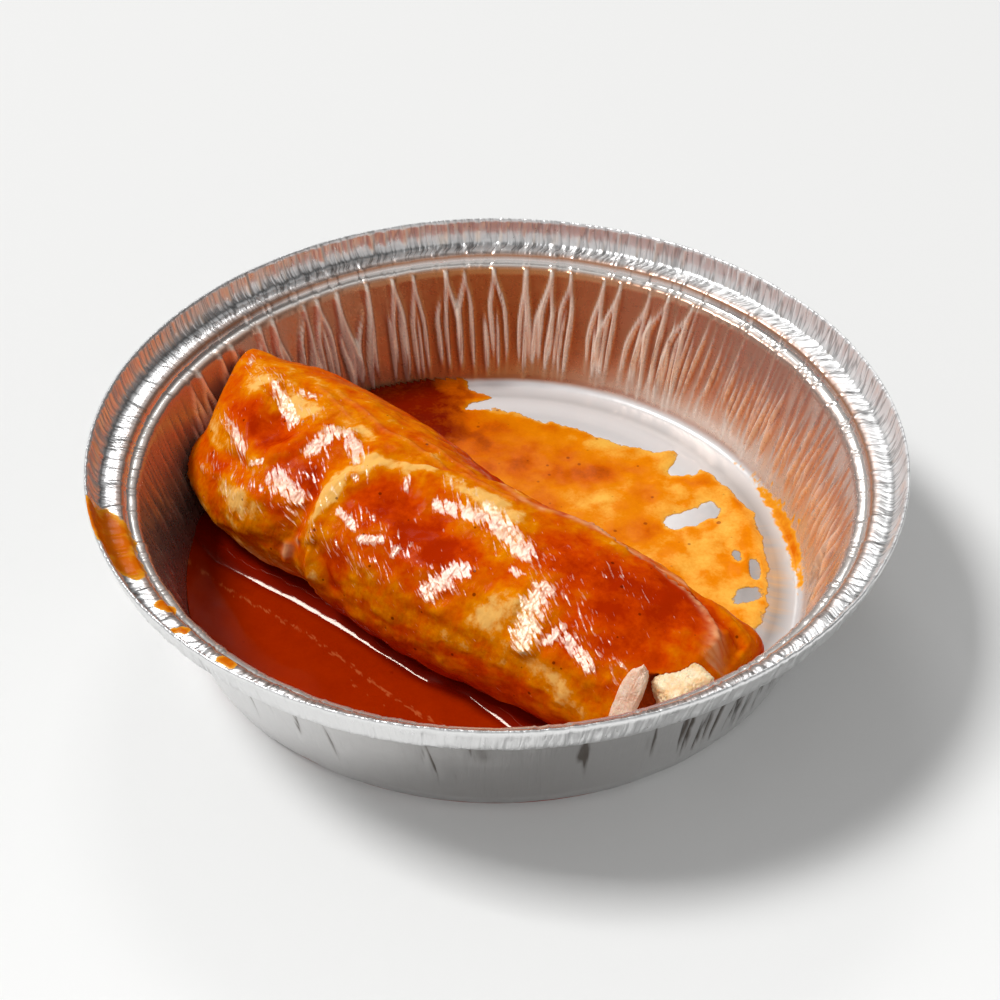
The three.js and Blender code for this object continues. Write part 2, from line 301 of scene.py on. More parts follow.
class Weave:
    """Node tree being filled, with short ways to add nodes and links."""

    def __init__(self, tree: bpy.types.NodeTree) -> None:
        """Starts on the tree of a material, of a world or of a node group."""
        self.tree = tree

    def add(self, kind: str, **inputs: object) -> bpy.types.Node:
        """Adds a node and fills its inputs.

        Args:
            kind: node type name.
            **inputs: socket names with spaces as underscores, to a value or an output socket.

        Returns:
            The node.
        """
        node = self.tree.nodes.new(kind)
        for name, value in inputs.items():
            self.feed(node.inputs[name.replace("_", " ")], value)
        return node

    def feed(self, socket: bpy.types.NodeSocket, value: object) -> None:
        """Links a socket to an output, or sets its value.

        Args:
            socket: input socket.
            value: output socket, number or colour.
        """
        if isinstance(value, bpy.types.NodeSocket):
            self.tree.links.new(value, socket)
        else:
            socket.default_value = value

    def math(self, operation: str, *values: object) -> bpy.types.NodeSocket:
        """Arithmetic on numbers or sockets.

        Args:
            operation: name of the operation.
            *values: its inputs in order.

        Returns:
            The result.
        """
        node = self.tree.nodes.new("ShaderNodeMath")
        node.operation = operation
        for socket, value in zip(node.inputs, values):
            self.feed(socket, value)
        return node.outputs[0]

    def scaled(
        self, value: object, low: float, high: float, to_low: float, to_high: float
    ) -> bpy.types.NodeSocket:
        """Moves a number from one range to another, held inside it.

        Args:
            value: number or socket.
            low: start of the old range.
            high: end of the old range.
            to_low: start of the new range.
            to_high: end of the new range.

        Returns:
            The moved number.
        """
        node = self.tree.nodes.new("ShaderNodeMapRange")
        for socket, given in zip(node.inputs, (value, low, high, to_low, to_high)):
            self.feed(socket, given)
        return node.outputs[0]

    def blend(self, share: object, first: object, second: object) -> bpy.types.NodeSocket:
        """Mix of two colours.

        Args:
            share: how much of the second.
            first: colour or socket.
            second: colour or socket.

        Returns:
            The mixed colour.
        """
        node = self.tree.nodes.new("ShaderNodeMix")
        node.data_type = "RGBA"
        self.feed(node.inputs[0], share)
        self.feed(node.inputs[6], first)
        self.feed(node.inputs[7], second)
        return node.outputs[2]

    def ramp(self, value: object, stops: Sequence[tuple[float, tuple[float, ...]]]) -> bpy.types.NodeSocket:
        """Colours along a scale from 0 to 1.

        Args:
            value: place on the scale.
            stops: places and colours in order.

        Returns:
            The colour.
        """
        node = self.tree.nodes.new("ShaderNodeValToRGB")
        self.feed(node.inputs[0], value)
        band = node.color_ramp
        while len(band.elements) < len(stops):
            band.elements.new(0.5)
        for element, (place, colour) in zip(band.elements, stops):
            element.position = place
            element.color = colour
        return node.outputs[0]

    def times(self, first: object, second: object) -> bpy.types.NodeSocket:
        """Product of two sockets or numbers."""
        return self.math("MULTIPLY", first, second)

    def plus(self, first: object, second: object) -> bpy.types.NodeSocket:
        """Sum of two sockets or numbers."""
        return self.math("ADD", first, second)

    def noise(self, where: object, scale: float, detail: float = 3.0) -> bpy.types.NodeSocket:
        """Noise from 0 to 1, with its features in one metre and its number of finer layers."""
        node = self.add("ShaderNodeTexNoise", Vector=where, Scale=scale, Detail=detail)
        return node.outputs[0]

    def stretched(self, vector: object, scale: tuple[float, float, float]) -> bpy.types.NodeSocket:
        """Vector with each part scaled by its own factor.

        Args:
            vector: vector socket.
            scale: three factors.

        Returns:
            The scaled vector.
        """
        node = self.tree.nodes.new("ShaderNodeVectorMath")
        node.operation = "MULTIPLY"
        self.feed(node.inputs[0], vector)
        node.inputs[1].default_value = scale
        return node.outputs[0]

    def steer(self, share: object, first: object, second: object) -> bpy.types.NodeSocket:
        """Direction between two directions.

        Args:
            share: how much of the second.
            first: vector socket.
            second: vector socket.

        Returns:
            The direction.
        """
        node = self.tree.nodes.new("ShaderNodeMix")
        node.data_type = "VECTOR"
        self.feed(node.inputs[0], share)
        self.feed(node.inputs[4], first)
        self.feed(node.inputs[5], second)
        even = self.tree.nodes.new("ShaderNodeVectorMath")
        even.operation = "NORMALIZE"
        self.feed(even.inputs[0], node.outputs[1])
        return even.outputs[0]

    def away_from_edge(self, low: float, high: float, full: float, least: float) -> bpy.types.NodeSocket:
        """Number that falls where the surface turns away from the eye."""
        facing = self.tree.nodes.new("ShaderNodeLayerWeight").outputs["Facing"]
        return self.scaled(facing, low, high, full, least)

    def layer(self, name: str) -> bpy.types.NodeSocket:
        """Numbers painted on the mesh under a name."""
        node = self.tree.nodes.new("ShaderNodeAttribute")
        node.attribute_name = name
        return node.outputs["Fac"]

    def arrow(self, name: str) -> bpy.types.NodeSocket:
        """Vectors painted on the mesh under a name."""
        node = self.tree.nodes.new("ShaderNodeAttribute")
        node.attribute_name = name
        return node.outputs["Vector"]

    def place(self) -> bpy.types.NodeSocket:
        """Place on the object, in metres."""
        return self.tree.nodes.new("ShaderNodeTexCoord").outputs["Object"]

    def bump(self, height: object, depth: float, under: object = None) -> bpy.types.NodeSocket:
        """Surface direction tilted by a height map.

        Args:
            height: height from 0 to 1.
            depth: metres that height 1 stands for.
            under: direction to tilt, if not the mesh's own.

        Returns:
            The direction.
        """
        node = self.add("ShaderNodeBump", Height=height, Distance=depth)
        if under is not None:
            self.feed(node.inputs["Normal"], under)
        return node.outputs[0]

    def effect(self, kind: "Effect", place: object, scale: float, amount: float) -> bpy.types.NodeSocket:
        """Places a shared effect.

        Args:
            kind: which effect.
            place: vector socket.
            scale: features in one metre.
            amount: its strength.

        Returns:
            Its output.
        """
        node = self.tree.nodes.new("ShaderNodeGroup")
        node.node_tree = shared_effect(kind)
        for socket, value in zip(node.inputs, (place, scale, amount)):
            self.feed(socket, value)
        return node.outputs[0]


class Effect(Enum):
    """Surface effects that several materials share."""

    SPECKS = "specks"
    RIPPLES = "ripples"
    MOTTLE = "mottle"


def group_tree(name: str, inputs: Sequence[tuple[str, str]], output: str) -> bpy.types.NodeTree:
    """Empty shader group with named sockets.

    Args:
        name: name of the group.
        inputs: socket names and socket types.
        output: name of its one output, a number.

    Returns:
        The group.
    """
    tree = bpy.data.node_groups.new(name, "ShaderNodeTree")
    for label, kind in inputs:
        tree.interface.new_socket(label, in_out="INPUT", socket_type=kind)
    tree.interface.new_socket(output, in_out="OUTPUT", socket_type="NodeSocketFloat")
    tree.nodes.new("NodeGroupInput").name = "given"
    tree.nodes.new("NodeGroupOutput").name = "result"
    return tree


def shared_effect(kind: Effect) -> bpy.types.NodeTree:
    """Group of an effect, built the first time it is asked for.

    Args:
        kind: which effect.

    Returns:
        The group.
    """
    if kind.value in bpy.data.node_groups:
        return bpy.data.node_groups[kind.value]
    number = "NodeSocketFloat"
    sockets = [("Place", "NodeSocketVector"), ("Scale", number), ("Amount", number)]
    tree = group_tree(kind.value, sockets, "Value")
    weave = Weave(tree)
    given = tree.nodes["given"].outputs
    if kind is Effect.SPECKS:
        value = specks(weave, given)
    elif kind is Effect.RIPPLES:
        value = ripples(weave, given)
    else:
        value = mottle(weave, given)
    weave.feed(tree.nodes["result"].inputs[0], value)
    return tree


def specks(weave: Weave, given: bpy.types.NodeOutputs) -> bpy.types.NodeSocket:
    """Scattered small round dots of uneven size.

    Args:
        weave: tree to fill.
        given: Place, Scale as dots in one metre, and Amount as the share of cells with a dot.

    Returns:
        Mask, 1 on a dot.
    """
    cells = weave.add("ShaderNodeTexVoronoi", Vector=given["Place"], Scale=given["Scale"])
    parts = weave.add("ShaderNodeSeparateColor", Color=cells.outputs["Color"])
    chosen = weave.math("LESS_THAN", parts.outputs[0], given["Amount"])
    size = weave.scaled(parts.outputs[1], 0.0, 1.0, 0.08, 0.3)
    inside = weave.math("SUBTRACT", size, cells.outputs["Distance"])
    edge = weave.times(inside, 12.0)
    node = weave.times(chosen, edge)
    return weave.scaled(node, 0.0, 1.0, 0.0, 1.0)


def ripples(weave: Weave, given: bpy.types.NodeOutputs) -> bpy.types.NodeSocket:
    """Fine crossing wrinkles, as on a skin of sauce.

    Args:
        weave: tree to fill.
        given: Place, Scale as wrinkles in one metre, and Amount as their strength.

    Returns:
        Height.
    """
    drift = weave.add("ShaderNodeTexNoise", Vector=given["Place"], Scale=given["Scale"], Detail=1.0)
    pushed = weave.add("ShaderNodeVectorMath", Vector=drift.outputs["Color"])
    pushed.operation = "SCALE"
    pushed.inputs["Scale"].default_value = 0.0011
    moved = weave.tree.nodes.new("ShaderNodeVectorMath")
    weave.feed(moved.inputs[0], given["Place"])
    weave.feed(moved.inputs[1], pushed.outputs[0])
    fine = weave.add("ShaderNodeTexNoise", Vector=moved.outputs[0], Scale=given["Scale"], Detail=3.5)
    ridged = weave.math("ABSOLUTE", weave.math("SUBTRACT", fine.outputs[0], 0.5))
    folded = weave.math("SUBTRACT", 0.5, ridged)
    return weave.times(folded, given["Amount"])


def mottle(weave: Weave, given: bpy.types.NodeOutputs) -> bpy.types.NodeSocket:
    """Cloudy light and dark, around 0.

    Args:
        weave: tree to fill.
        given: Place, Scale as clouds in one metre, and Amount as their strength.

    Returns:
        Value around 0.
    """
    broad = weave.add("ShaderNodeTexNoise", Vector=given["Place"], Scale=given["Scale"], Detail=5.0)
    broad.inputs["Roughness"].default_value = 0.6
    middle = weave.math("SUBTRACT", broad.outputs[0], 0.5)
    return weave.times(middle, given["Amount"])


def new_material(name: str) -> tuple[bpy.types.Material, Weave, bpy.types.Node]:
    """Material with a bare surface shader.

    Args:
        name: name of the material.

    Returns:
        The material, its tree and its surface shader node.
    """
    material = bpy.data.materials.new(name)
    material.use_nodes = True
    weave = Weave(material.node_tree)
    return material, weave, material.node_tree.nodes["Principled BSDF"]


@dataclass(frozen=True)
class FoilFinish:
    """Thin bright foil with fine streaks, softly crumpled, hazed by sauce on the wall.

    Attributes:
        metal: colour of the clean foil.
        warm: painted reflection of the sauce, a copper tint on the inner wall and on the riser between the
            ledges.
        stain_and_shade: grey of painted shade and of the dull places of the foil.
        shade: painted shade in the finest folds, drawn as thin dark combed lines.
        crest: painted highlight on the tops of the creases, the pleats and the lower bead.
        haze: colour of the thin film of sauce on it.
        thin_sauce: edge of a drop of sauce.
        sauce: middle of a drop of sauce.
        streaks: fine folds in one metre of rim.
        streak_depth: height of those folds, in metres.
        crumple: soft dents in one metre.
        crumple_depth: height of the dents, in metres.
        clouds: clouds in one metre that break up films, drops and scuffs.
        scuffs: how much scuffs change the dullness.
        drop_edge: numbers between which a drop of sauce begins.
        drop_depth: numbers between which it turns from thin to thick.
        foil_shine: level of the plain reflection on foil.
        drop_shine: the same on sauce.
    """

    metal: tuple = tone(232, 232, 232)
    warm: tuple = tone(190, 124, 70)
    stain_and_shade: tuple = tone(116, 108, 102)
    shade: tuple = tone(72, 72, 72)
    crest: tuple = tone(255, 236, 216)
    haze: tuple = tone(240, 176, 84)
    thin_sauce: tuple = tone(240, 168, 40)
    sauce: tuple = tone(214, 104, 0)
    streaks: float = 560.0
    streak_depth: float = 0.0006
    crumple: float = 120.0
    crumple_depth: float = 0.00022
    clouds: float = 420.0
    scuffs: float = 0.16
    drop_edge: tuple = (0.42, 0.56)
    drop_depth: tuple = (0.5, 0.95)
    foil_shine: float = 0.2
    drop_shine: float = 0.04

    def build(self) -> bpy.types.Material:
        """Makes the material.

        Returns:
            The material.
        """
        material, weave, surface = new_material("crimped_foil")
        place = weave.place()
        around = weave.arrow("around")
        grain = weave.math("SUBTRACT", weave.noise(around, self.streaks, 2.0), 0.5)
        streak = weave.math("ABSOLUTE", grain)
        dents = weave.noise(place, self.crumple, 2.0)
        folded = weave.times(streak, weave.layer("streaks"))
        streaked = weave.bump(folded, self.streak_depth)
        weave.feed(surface.inputs["Normal"], weave.bump(dents, self.crumple_depth, streaked))
        # Painted shade: thin dark lines where the finest folds dip.
        lines = weave.times(weave.scaled(streak, 0.0, 0.06, 1.0, 0.0), weave.layer("combed"))
        combed = weave.blend(lines, self.metal, self.shade)
        # Painted shade: greys the foil on the shaded walls, in the outer creases and on part of the floor.
        stained_and_shaded = weave.blend(weave.layer("stain_and_shade"), combed, self.stain_and_shade)
        # Painted reflection: the inner wall and the riser take the copper tint of the sauce that they mirror.
        warmed = weave.blend(weave.layer("warm"), stained_and_shaded, self.warm)
        # Painted highlight: pale tops of the creases and pleats, the lower bead, and a glow low on the right
        # back wall.
        ridged = weave.blend(weave.layer("crest"), warmed, self.crest)
        worn = weave.effect(Effect.MOTTLE, around, self.clouds, 1.0)
        covered = weave.scaled(weave.plus(weave.layer("haze"), worn), 0.4, 0.9, 0.0, 0.8)
        covered = weave.times(covered, weave.layer("haze"))
        hazed = weave.blend(covered, ridged, self.haze)
        cloudy = weave.effect(Effect.MOTTLE, place, self.clouds, 1.0)
        spilt = weave.plus(weave.layer("spill"), cloudy)
        near = weave.scaled(weave.layer("spill"), 0.0, 0.2, 0.0, 1.0)
        shown = weave.times(weave.scaled(spilt, *self.drop_edge, 0.0, 1.0), near)
        sauce = weave.blend(weave.scaled(spilt, *self.drop_depth, 0.0, 1.0), self.thin_sauce, self.sauce)
        weave.feed(surface.inputs["Base Color"], weave.blend(shown, hazed, sauce))
        bare = weave.times(weave.layer("metal"), weave.scaled(covered, 0.0, 1.0, 1.0, 0.4))
        metallic = weave.times(bare, weave.scaled(shown, 0.0, 1.0, 1.0, 0.0))
        weave.feed(surface.inputs["Metallic"], metallic)
        scuff = weave.effect(Effect.MOTTLE, place, self.clouds, self.scuffs)
        dull = weave.plus(scuff, weave.layer("dull"))
        rough = weave.times(dull, weave.scaled(shown, 0.0, 1.0, 1.0, 0.5))
        weave.feed(surface.inputs["Roughness"], rough)
        level = weave.scaled(shown, 0.0, 1.0, self.foil_shine, self.drop_shine)
        weave.feed(surface.inputs["Specular IOR Level"], level)
        return material


@dataclass(frozen=True)
class TortillaFinish:
    """Soft flour tortilla under a glossy coat of chile sauce, thin on the folds.

    Attributes:
        bare: colour where hardly any sauce lies.
        golden: thin sauce.
        orange: more of it.
        red: a full coat.
        deep: sauce gathered in a hollow.
        fleck: dark flecks of spice.
        edge: torn edge of the tortilla.
        inner: cut face inside the mouth.
        painted_highlight: pale colour painted into the facets where they catch the light, a painted
            highlight.
        shine: tint of the reflection.
        roughness: how dull the sauce is.
        clouds: broad clouds in its depth, as clouds in one metre and strength.
        grain: fine clouds in its depth, the same way.
        flecks: specks in one metre, and the share of cells that hold one.
        broken: fine clouds that break up the facets.
        caught: how a facet turns to the light, as two numbers in and two out.
        wet: how its shine rises, the same way.
        crossed_depth: height of the crossing ripples, in metres.
        drawn_depth: height of the drawn ripples, in metres.
    """

    bare: tuple = tone(246, 186, 98)
    golden: tuple = tone(228, 130, 0)
    orange: tuple = tone(216, 96, 0)
    red: tuple = tone(204, 64, 0)
    deep: tuple = tone(174, 40, 0)
    fleck: tuple = tone(84, 20, 0)
    edge: tuple = tone(236, 166, 116)
    inner: tuple = tone(186, 76, 18)
    painted_highlight: tuple = tone(236, 214, 190)
    shine: tuple = tone(255, 242, 230)
    roughness: float = 0.1
    clouds: tuple = (190.0, 0.95)
    grain: tuple = (800.0, 0.45)
    flecks: tuple = (620.0, 0.07)
    broken: tuple = (900.0, 0.8)
    caught: tuple = (0.5, 0.86, 0.0, 0.92)
    wet: tuple = (0.56, 0.78, 0.01, 0.38)
    crossed_depth: float = 0.00024
    drawn_depth: float = 0.00028

    def build(self) -> bpy.types.Material:
        """Makes the material.

        Returns:
            The material.
        """
        material, weave, surface = new_material("sauced_tortilla")
        place = weave.place()
        sauce = weave.layer("sauce")
        clouds = weave.effect(Effect.MOTTLE, place, *self.clouds)
        grain = weave.effect(Effect.MOTTLE, place, *self.grain)
        depth = weave.plus(sauce, weave.plus(clouds, grain))
        stops = [(0.0, self.bare), (0.2, self.golden), (0.45, self.orange)]
        stops += [(0.72, self.red), (1.0, self.deep)]
        coloured = weave.ramp(depth, stops)
        flecks = weave.effect(Effect.SPECKS, place, *self.flecks)
        flecked = weave.blend(weave.times(flecks, 0.7), coloured, self.fleck)
        edged = weave.blend(weave.layer("edge"), flecked, self.edge)
        surface.inputs["Roughness"].default_value = self.roughness
        surface.inputs["IOR"].default_value = 1.52
        surface.inputs["Specular Tint"].default_value = self.shine
        skin = weave.effect(Effect.RIPPLES, place, 480.0, 1.0)
        crossed = weave.times(skin, weave.layer("ripple"))
        combed = weave.noise(weave.stretched(weave.arrow("skin"), (1.0, 0.24, 1.0)), 820.0, 2.0)
        drawn = weave.times(combed, weave.layer("ripple"))
        speckled = weave.effect(Effect.MOTTLE, place, *self.broken)
        brushed = weave.noise(weave.stretched(weave.arrow("brush"), (0.75, 0.35, 1.0)), 1200.0, 3.0)
        torn = weave.plus(speckled, weave.scaled(brushed, 0.2, 0.8, -0.8, 0.8))
        glint = weave.plus(weave.layer("glint"), torn)
        caught = weave.scaled(glint, *self.caught)
        # Painted highlight: the base colour turns pale where the facets catch the light.
        painted_highlight = weave.blend(weave.times(caught, 0.5), edged, self.painted_highlight)
        weave.feed(surface.inputs["Base Color"], weave.blend(weave.layer("inside"), painted_highlight, self.inner))
        plain = weave.tree.nodes.new("ShaderNodeNewGeometry").outputs["Normal"]
        turned = weave.steer(caught, plain, weave.arrow("facing"))
        rippled = weave.bump(crossed, self.crossed_depth, turned)
        weave.feed(surface.inputs["Normal"], weave.bump(drawn, self.drawn_depth, rippled))
        wet = weave.scaled(glint, *self.wet)
        level = weave.times(wet, weave.away_from_edge(0.3, 0.7, 1.0, 0.3))
        weave.feed(surface.inputs["Specular IOR Level"], level)
        return material


@dataclass(frozen=True)
class SauceFinish:
    """Wet chile sauce, from thin and yellow to deep and red.

    Attributes:
        name: name of the material.
        thin: colour of the thinnest film.
        light: colour of a thin layer.
        full: colour of a thick layer.
        deep: colour of the thickest.
        cream: colour of streaks of fat and fibre on top.
        shine: tint of the reflection.
        roughness: how dull the surface is.
        gloss: level of the reflection on the painted glints.
        still: level of the reflection elsewhere.
        speck_share: share of cells that hold a speck.
        grain: strength of the finest clouds.
        skin: height of the ripples, in metres.
    """

    name: str
    thin: tuple = tone(248, 188, 60)
    light: tuple = tone(232, 140, 0)
    full: tuple = tone(200, 76, 0)
    deep: tuple = tone(112, 18, 0)
    cream: tuple = tone(206, 108, 58)
    shine: tuple = tone(255, 240, 225)
    roughness: float = 0.12
    gloss: float = 0.5
    still: float = 0.1
    speck_share: float = 0.2
    grain: float = 0.16
    skin: float = 0.00006

    def build(self) -> bpy.types.Material:
        """Makes the material.

        Returns:
            The material.
        """
        material, weave, surface = new_material(self.name)
        place = weave.place()
        clouds = weave.effect(Effect.MOTTLE, place, 150.0, 0.28)
        grain = weave.effect(Effect.MOTTLE, place, 1300.0, self.grain)
        depth = weave.plus(weave.layer("depth"), weave.plus(clouds, grain))
        stops = [(0.0, self.thin), (0.24, self.light), (0.6, self.full), (1.0, self.deep)]
        coloured = weave.ramp(depth, stops)
        flecks = weave.effect(Effect.SPECKS, place, 380.0, self.speck_share)
        flecked = weave.blend(weave.times(flecks, 0.6), coloured, self.deep)
        streaked = weave.blend(weave.layer("cream"), flecked, self.cream)
        weave.feed(surface.inputs["Base Color"], streaked)
        surface.inputs["Roughness"].default_value = self.roughness
        surface.inputs["IOR"].default_value = 1.45
        surface.inputs["Specular Tint"].default_value = self.shine
        shining = weave.scaled(weave.layer("glint"), 0.0, 1.0, self.still, self.gloss)
        level = weave.times(shining, weave.away_from_edge(0.3, 0.7, 1.0, 0.3))
        weave.feed(surface.inputs["Specular IOR Level"], level)
        worn = weave.effect(Effect.MOTTLE, place, 1100.0, 0.7)
        film = weave.plus(weave.layer("cover"), worn)
        weave.feed(surface.inputs["Alpha"], weave.scaled(film, 0.15, 0.6, 0.0, 1.0))
        skin = weave.effect(Effect.RIPPLES, place, 300.0, 1.0)
        weave.feed(surface.inputs["Normal"], weave.bump(skin, self.skin))
        return material


@dataclass(frozen=True)
class PaleFinish:
    """Pale, moist piece of filling with fine fibres.

    Attributes:
        name: name of the material.
        light: colour of the lit flesh.
        warm: colour of its veins and stains.
    """

    name: str
    light: tuple
    warm: tuple

    def build(self) -> bpy.types.Material:
        """Makes the material.

        Returns:
            The material.
        """
        material, weave, surface = new_material(self.name)
        place = weave.place()
        stain_and_shade = weave.effect(Effect.MOTTLE, place, 420.0, 2.2)
        coloured = weave.blend(weave.scaled(stain_and_shade, -0.2, 0.6, 0.0, 1.0), self.light, self.warm)
        weave.feed(surface.inputs["Base Color"], coloured)
        surface.inputs["Roughness"].default_value = 0.38
        surface.inputs["Subsurface Weight"].default_value = 0.25
        surface.inputs["Subsurface Radius"].default_value = (1.0, 0.5, 0.3)
        surface.inputs["Subsurface Scale"].default_value = 0.002
        fibres = weave.effect(Effect.RIPPLES, place, 800.0, 1.0)
        weave.feed(surface.inputs["Normal"], weave.bump(fibres, 0.0005))
        return material


# Foil pan


@dataclass(frozen=True)
class FoilCrease:
    """One crease pressed into the foil, running down the wall or across the rim.

    Attributes:
        middle: angle round the pan, in radians.
        lean: drift along the rim from its foot to its top, in millimetres.
        bend: sideways bow, in millimetres.
        phase: where the bow lies.
        low: share of the run where it starts.
        high: share of the run where it ends.
        width: half width in millimetres.
        tall: height in millimetres.
        sharp: whether its crest is an edge and not a round.
        peak: share of its length where it is tallest.
        join: share of the run from which it leans over to its angle.
    """

    middle: float
    lean: float
    bend: float
    phase: float
    low: float
    high: float
    width: float
    tall: float
    sharp: bool = False
    peak: float = 0.4
    join: float = 0.0

    def press(self, rise: np.ndarray, angle: np.ndarray, share: np.ndarray, radius: float) -> None:
        """Adds the crease to a field of heights.

        Args:
            rise: heights to add to, rows by columns.
            angle: angle of each point.
            share: place along the run of each point, 0 to 1.
            radius: radius that turns angles into millimetres.
        """
        near = np.abs((angle[0] - self.middle + math.pi) % FULL_TURN - math.pi) < 0.13
        columns = np.flatnonzero(near)
        part = share[:, columns]
        turn = (angle[:, columns] - self.middle + math.pi) % FULL_TURN - math.pi
        bow = self.bend * np.sin(math.pi * 1.3 * part + self.phase)
        apart = 1 - ease(part, self.join, 1.0) if self.join else 1 - np.clip(part, 0, 1)
        away = np.abs(turn * radius - self.lean * apart - bow) / self.width
        peak = self.low + (self.high - self.low) * self.peak
        length = ease(part, self.low, peak) * (1 - ease(part, peak, self.high))
        crest = np.exp(-away) if self.sharp else bell(away)
        rise[:, columns] += self.tall * crest * length


@dataclass
class FoilPan:
    """Round foil pan with a wrinkled wall, two ledges and a crimped flange.

    Attributes:
        rim_radius: outer radius of the rim.
        height: height of the rim.
        sheet: thickness that the foil is given.
        floor_face: inner face of the floor, as radius and height.
        wall_foot: start of the wall.
        wall_top: end of the wall.
        around: points round the wall and rim.
        floor_around: points round the floor.
        seed: picks the wrinkles.
        fine_creases: number of fine creases on the wall.
        rim_groups: groups of creases round the rim.
        outer_creases: degrees round of the tall creases outside the front wall.
        spills: spots of sauce, as degrees, half width, radius and half depth.
        pleats: number of pleats of the flange.
        rim_edge: radii between which the rim's paint begins.
        flange_edge: radii between which the flange's paint begins.
        floor_edge: radii between which the floor's paint ends.
        wall_start: heights between which the wall's paint begins.
        wall_stop: radii between which it ends.
    """

    rim_radius: float = 92.0
    height: float = 43.5
    sheet: float = 0.8
    floor_face: tuple = (
        (0, 1.3),
        (56.5, 1.3),
        (59, 1.8),
        (64, 1.8),
        (67.5, 0.8),
        (73, 0.8),
        (74.5, 2.6),
    )
    wall_foot: tuple = (74.5, 2.6)
    wall_top: tuple = (81.7, 33.2)
    around: int = 1320
    floor_around: int = 330
    seed: int = 11
    fine_creases: int = 118
    rim_groups: int = 72
    outer_creases: tuple = (-131.0, -117.0, -100.6, -78.0, -67.0, -61.0, -46.0, -38.0)
    spills: tuple = (
        (201.0, 6.5, 88.5, 5.5),
        (207.0, 4.0, 87.0, 3.6),
        (217.0, 1.6, 85.0, 2.2),
        (223.0, 1.0, 86.6, 1.8),
        (231.5, 1.8, 86.0, 1.8),
    )
    pleats: int = 300
    rim_edge: tuple = (84.0, 86.0)
    flange_edge: tuple = (88.6, 90.0)
    floor_edge: tuple = (73.5, 74.6)
    wall_start: tuple = (1.0, 2.8)
    wall_stop: tuple = (82.0, 83.0)

    def floor_height(self, radius: np.ndarray) -> np.ndarray:
        """Height of the floor's upper face.

        Args:
            radius: distances from the middle.

        Returns:
            Heights.
        """
        radii = [point[0] for point in self.floor_face]
        heights = [point[1] for point in self.floor_face]
        return np.interp(radius, radii, heights)

    def wall_radius(self, height: np.ndarray) -> np.ndarray:
        """Radius of the wall's inner face at a height."""
        return np.interp(
            height, [self.wall_foot[1], self.wall_top[1]], [self.wall_foot[0], self.wall_top[0]]
        )

    def inner_profile(self) -> np.ndarray:
        """Rows of the inner face from the wall's foot to the lip.

        Returns:
            Radius, height, share of the wall's creases, of the rim's and of the pleats.
        """
        rows = []
        for share in np.linspace(0, 1, 22):
            radius = self.wall_foot[0] + share * (self.wall_top[0] - self.wall_foot[0])
            height = self.wall_foot[1] + share * (self.wall_top[1] - self.wall_foot[1])
            rows.append((radius, height, 1.0, 0.6 * max(share * 4 - 3, 0), 0.0))
        rows += [(82.2, 33.7, 0.2, 1, 0), (83.2, 33.95, 0, 1, 0), (83.9, 34.1, 0, 1, 0)]
        rows += [(84.3, 34.9, 0, 0.8, 0), (84.6, 36.0, 0, 0.8, 0), (85.2, 36.5, 0, 1, 0)]
        rows += [(86.4, 36.75, 0, 1, 0), (87.8, 36.9, 0, 1, 0.3), (89.1, 37.1, 0, 0.8, 0.6)]
        rows += [(89.8, 37.8, 0, 0.6, 0.8), (90.4, 38.9, 0, 0.5, 1), (90.75, 40.1, 0, 0.5, 1)]
        rows += [(90.95, 41.3, 0, 0.5, 1), (91.05, 42.4, 0, 0.5, 0.9), (91.1, 43.0, 0, 0.5, 0.6)]
        rows += [(91.35, 43.38, 0, 0.5, 0.4), (91.6, 43.4, 0, 0.5, 0.4)]
        return np.array(rows, float)

    def outer_profile(self) -> np.ndarray:
        """Rows of the outer face from the lip to the wall's foot.

        Returns:
            Radius, height, share of the wall's creases, of the rim's and of the pleats.
        """
        rows = [(91.85, 43.1, 0, 0.5, 0.4), (91.85, 42.4, 0, 0.5, 0.4), (91.6, 41.6, 0, 0.5, 0.7)]
        rows += [(91.3, 40.3, 0, 0.5, 0.9), (90.9, 38.7, 0, 0.5, 0.9), (90.5, 37.1, 0, 0.5, 0.8)]
        rows += [(90.0, 36.4, 0, 0.8, 0.5), (88.5, 36.1, 0, 1, 0), (86.0, 35.9, 0, 1, 0)]
        rows += [(85.2, 35.4, 0, 1, 0), (84.9, 33.9, 0, 0.8, 0), (84.2, 33.15, 0, 0.8, 0)]
        for share in np.linspace(1, 0, 12):
            radius = self.wall_foot[0] + share * (self.wall_top[0] - self.wall_foot[0])
            height = self.wall_foot[1] + share * (self.wall_top[1] - self.wall_foot[1])
            row = (radius + 0.78, height - 0.2, 1.0, 0.6 * max(share * 4 - 3, 0), 0.0)
            rows.append(row)
        return np.array(rows, float)

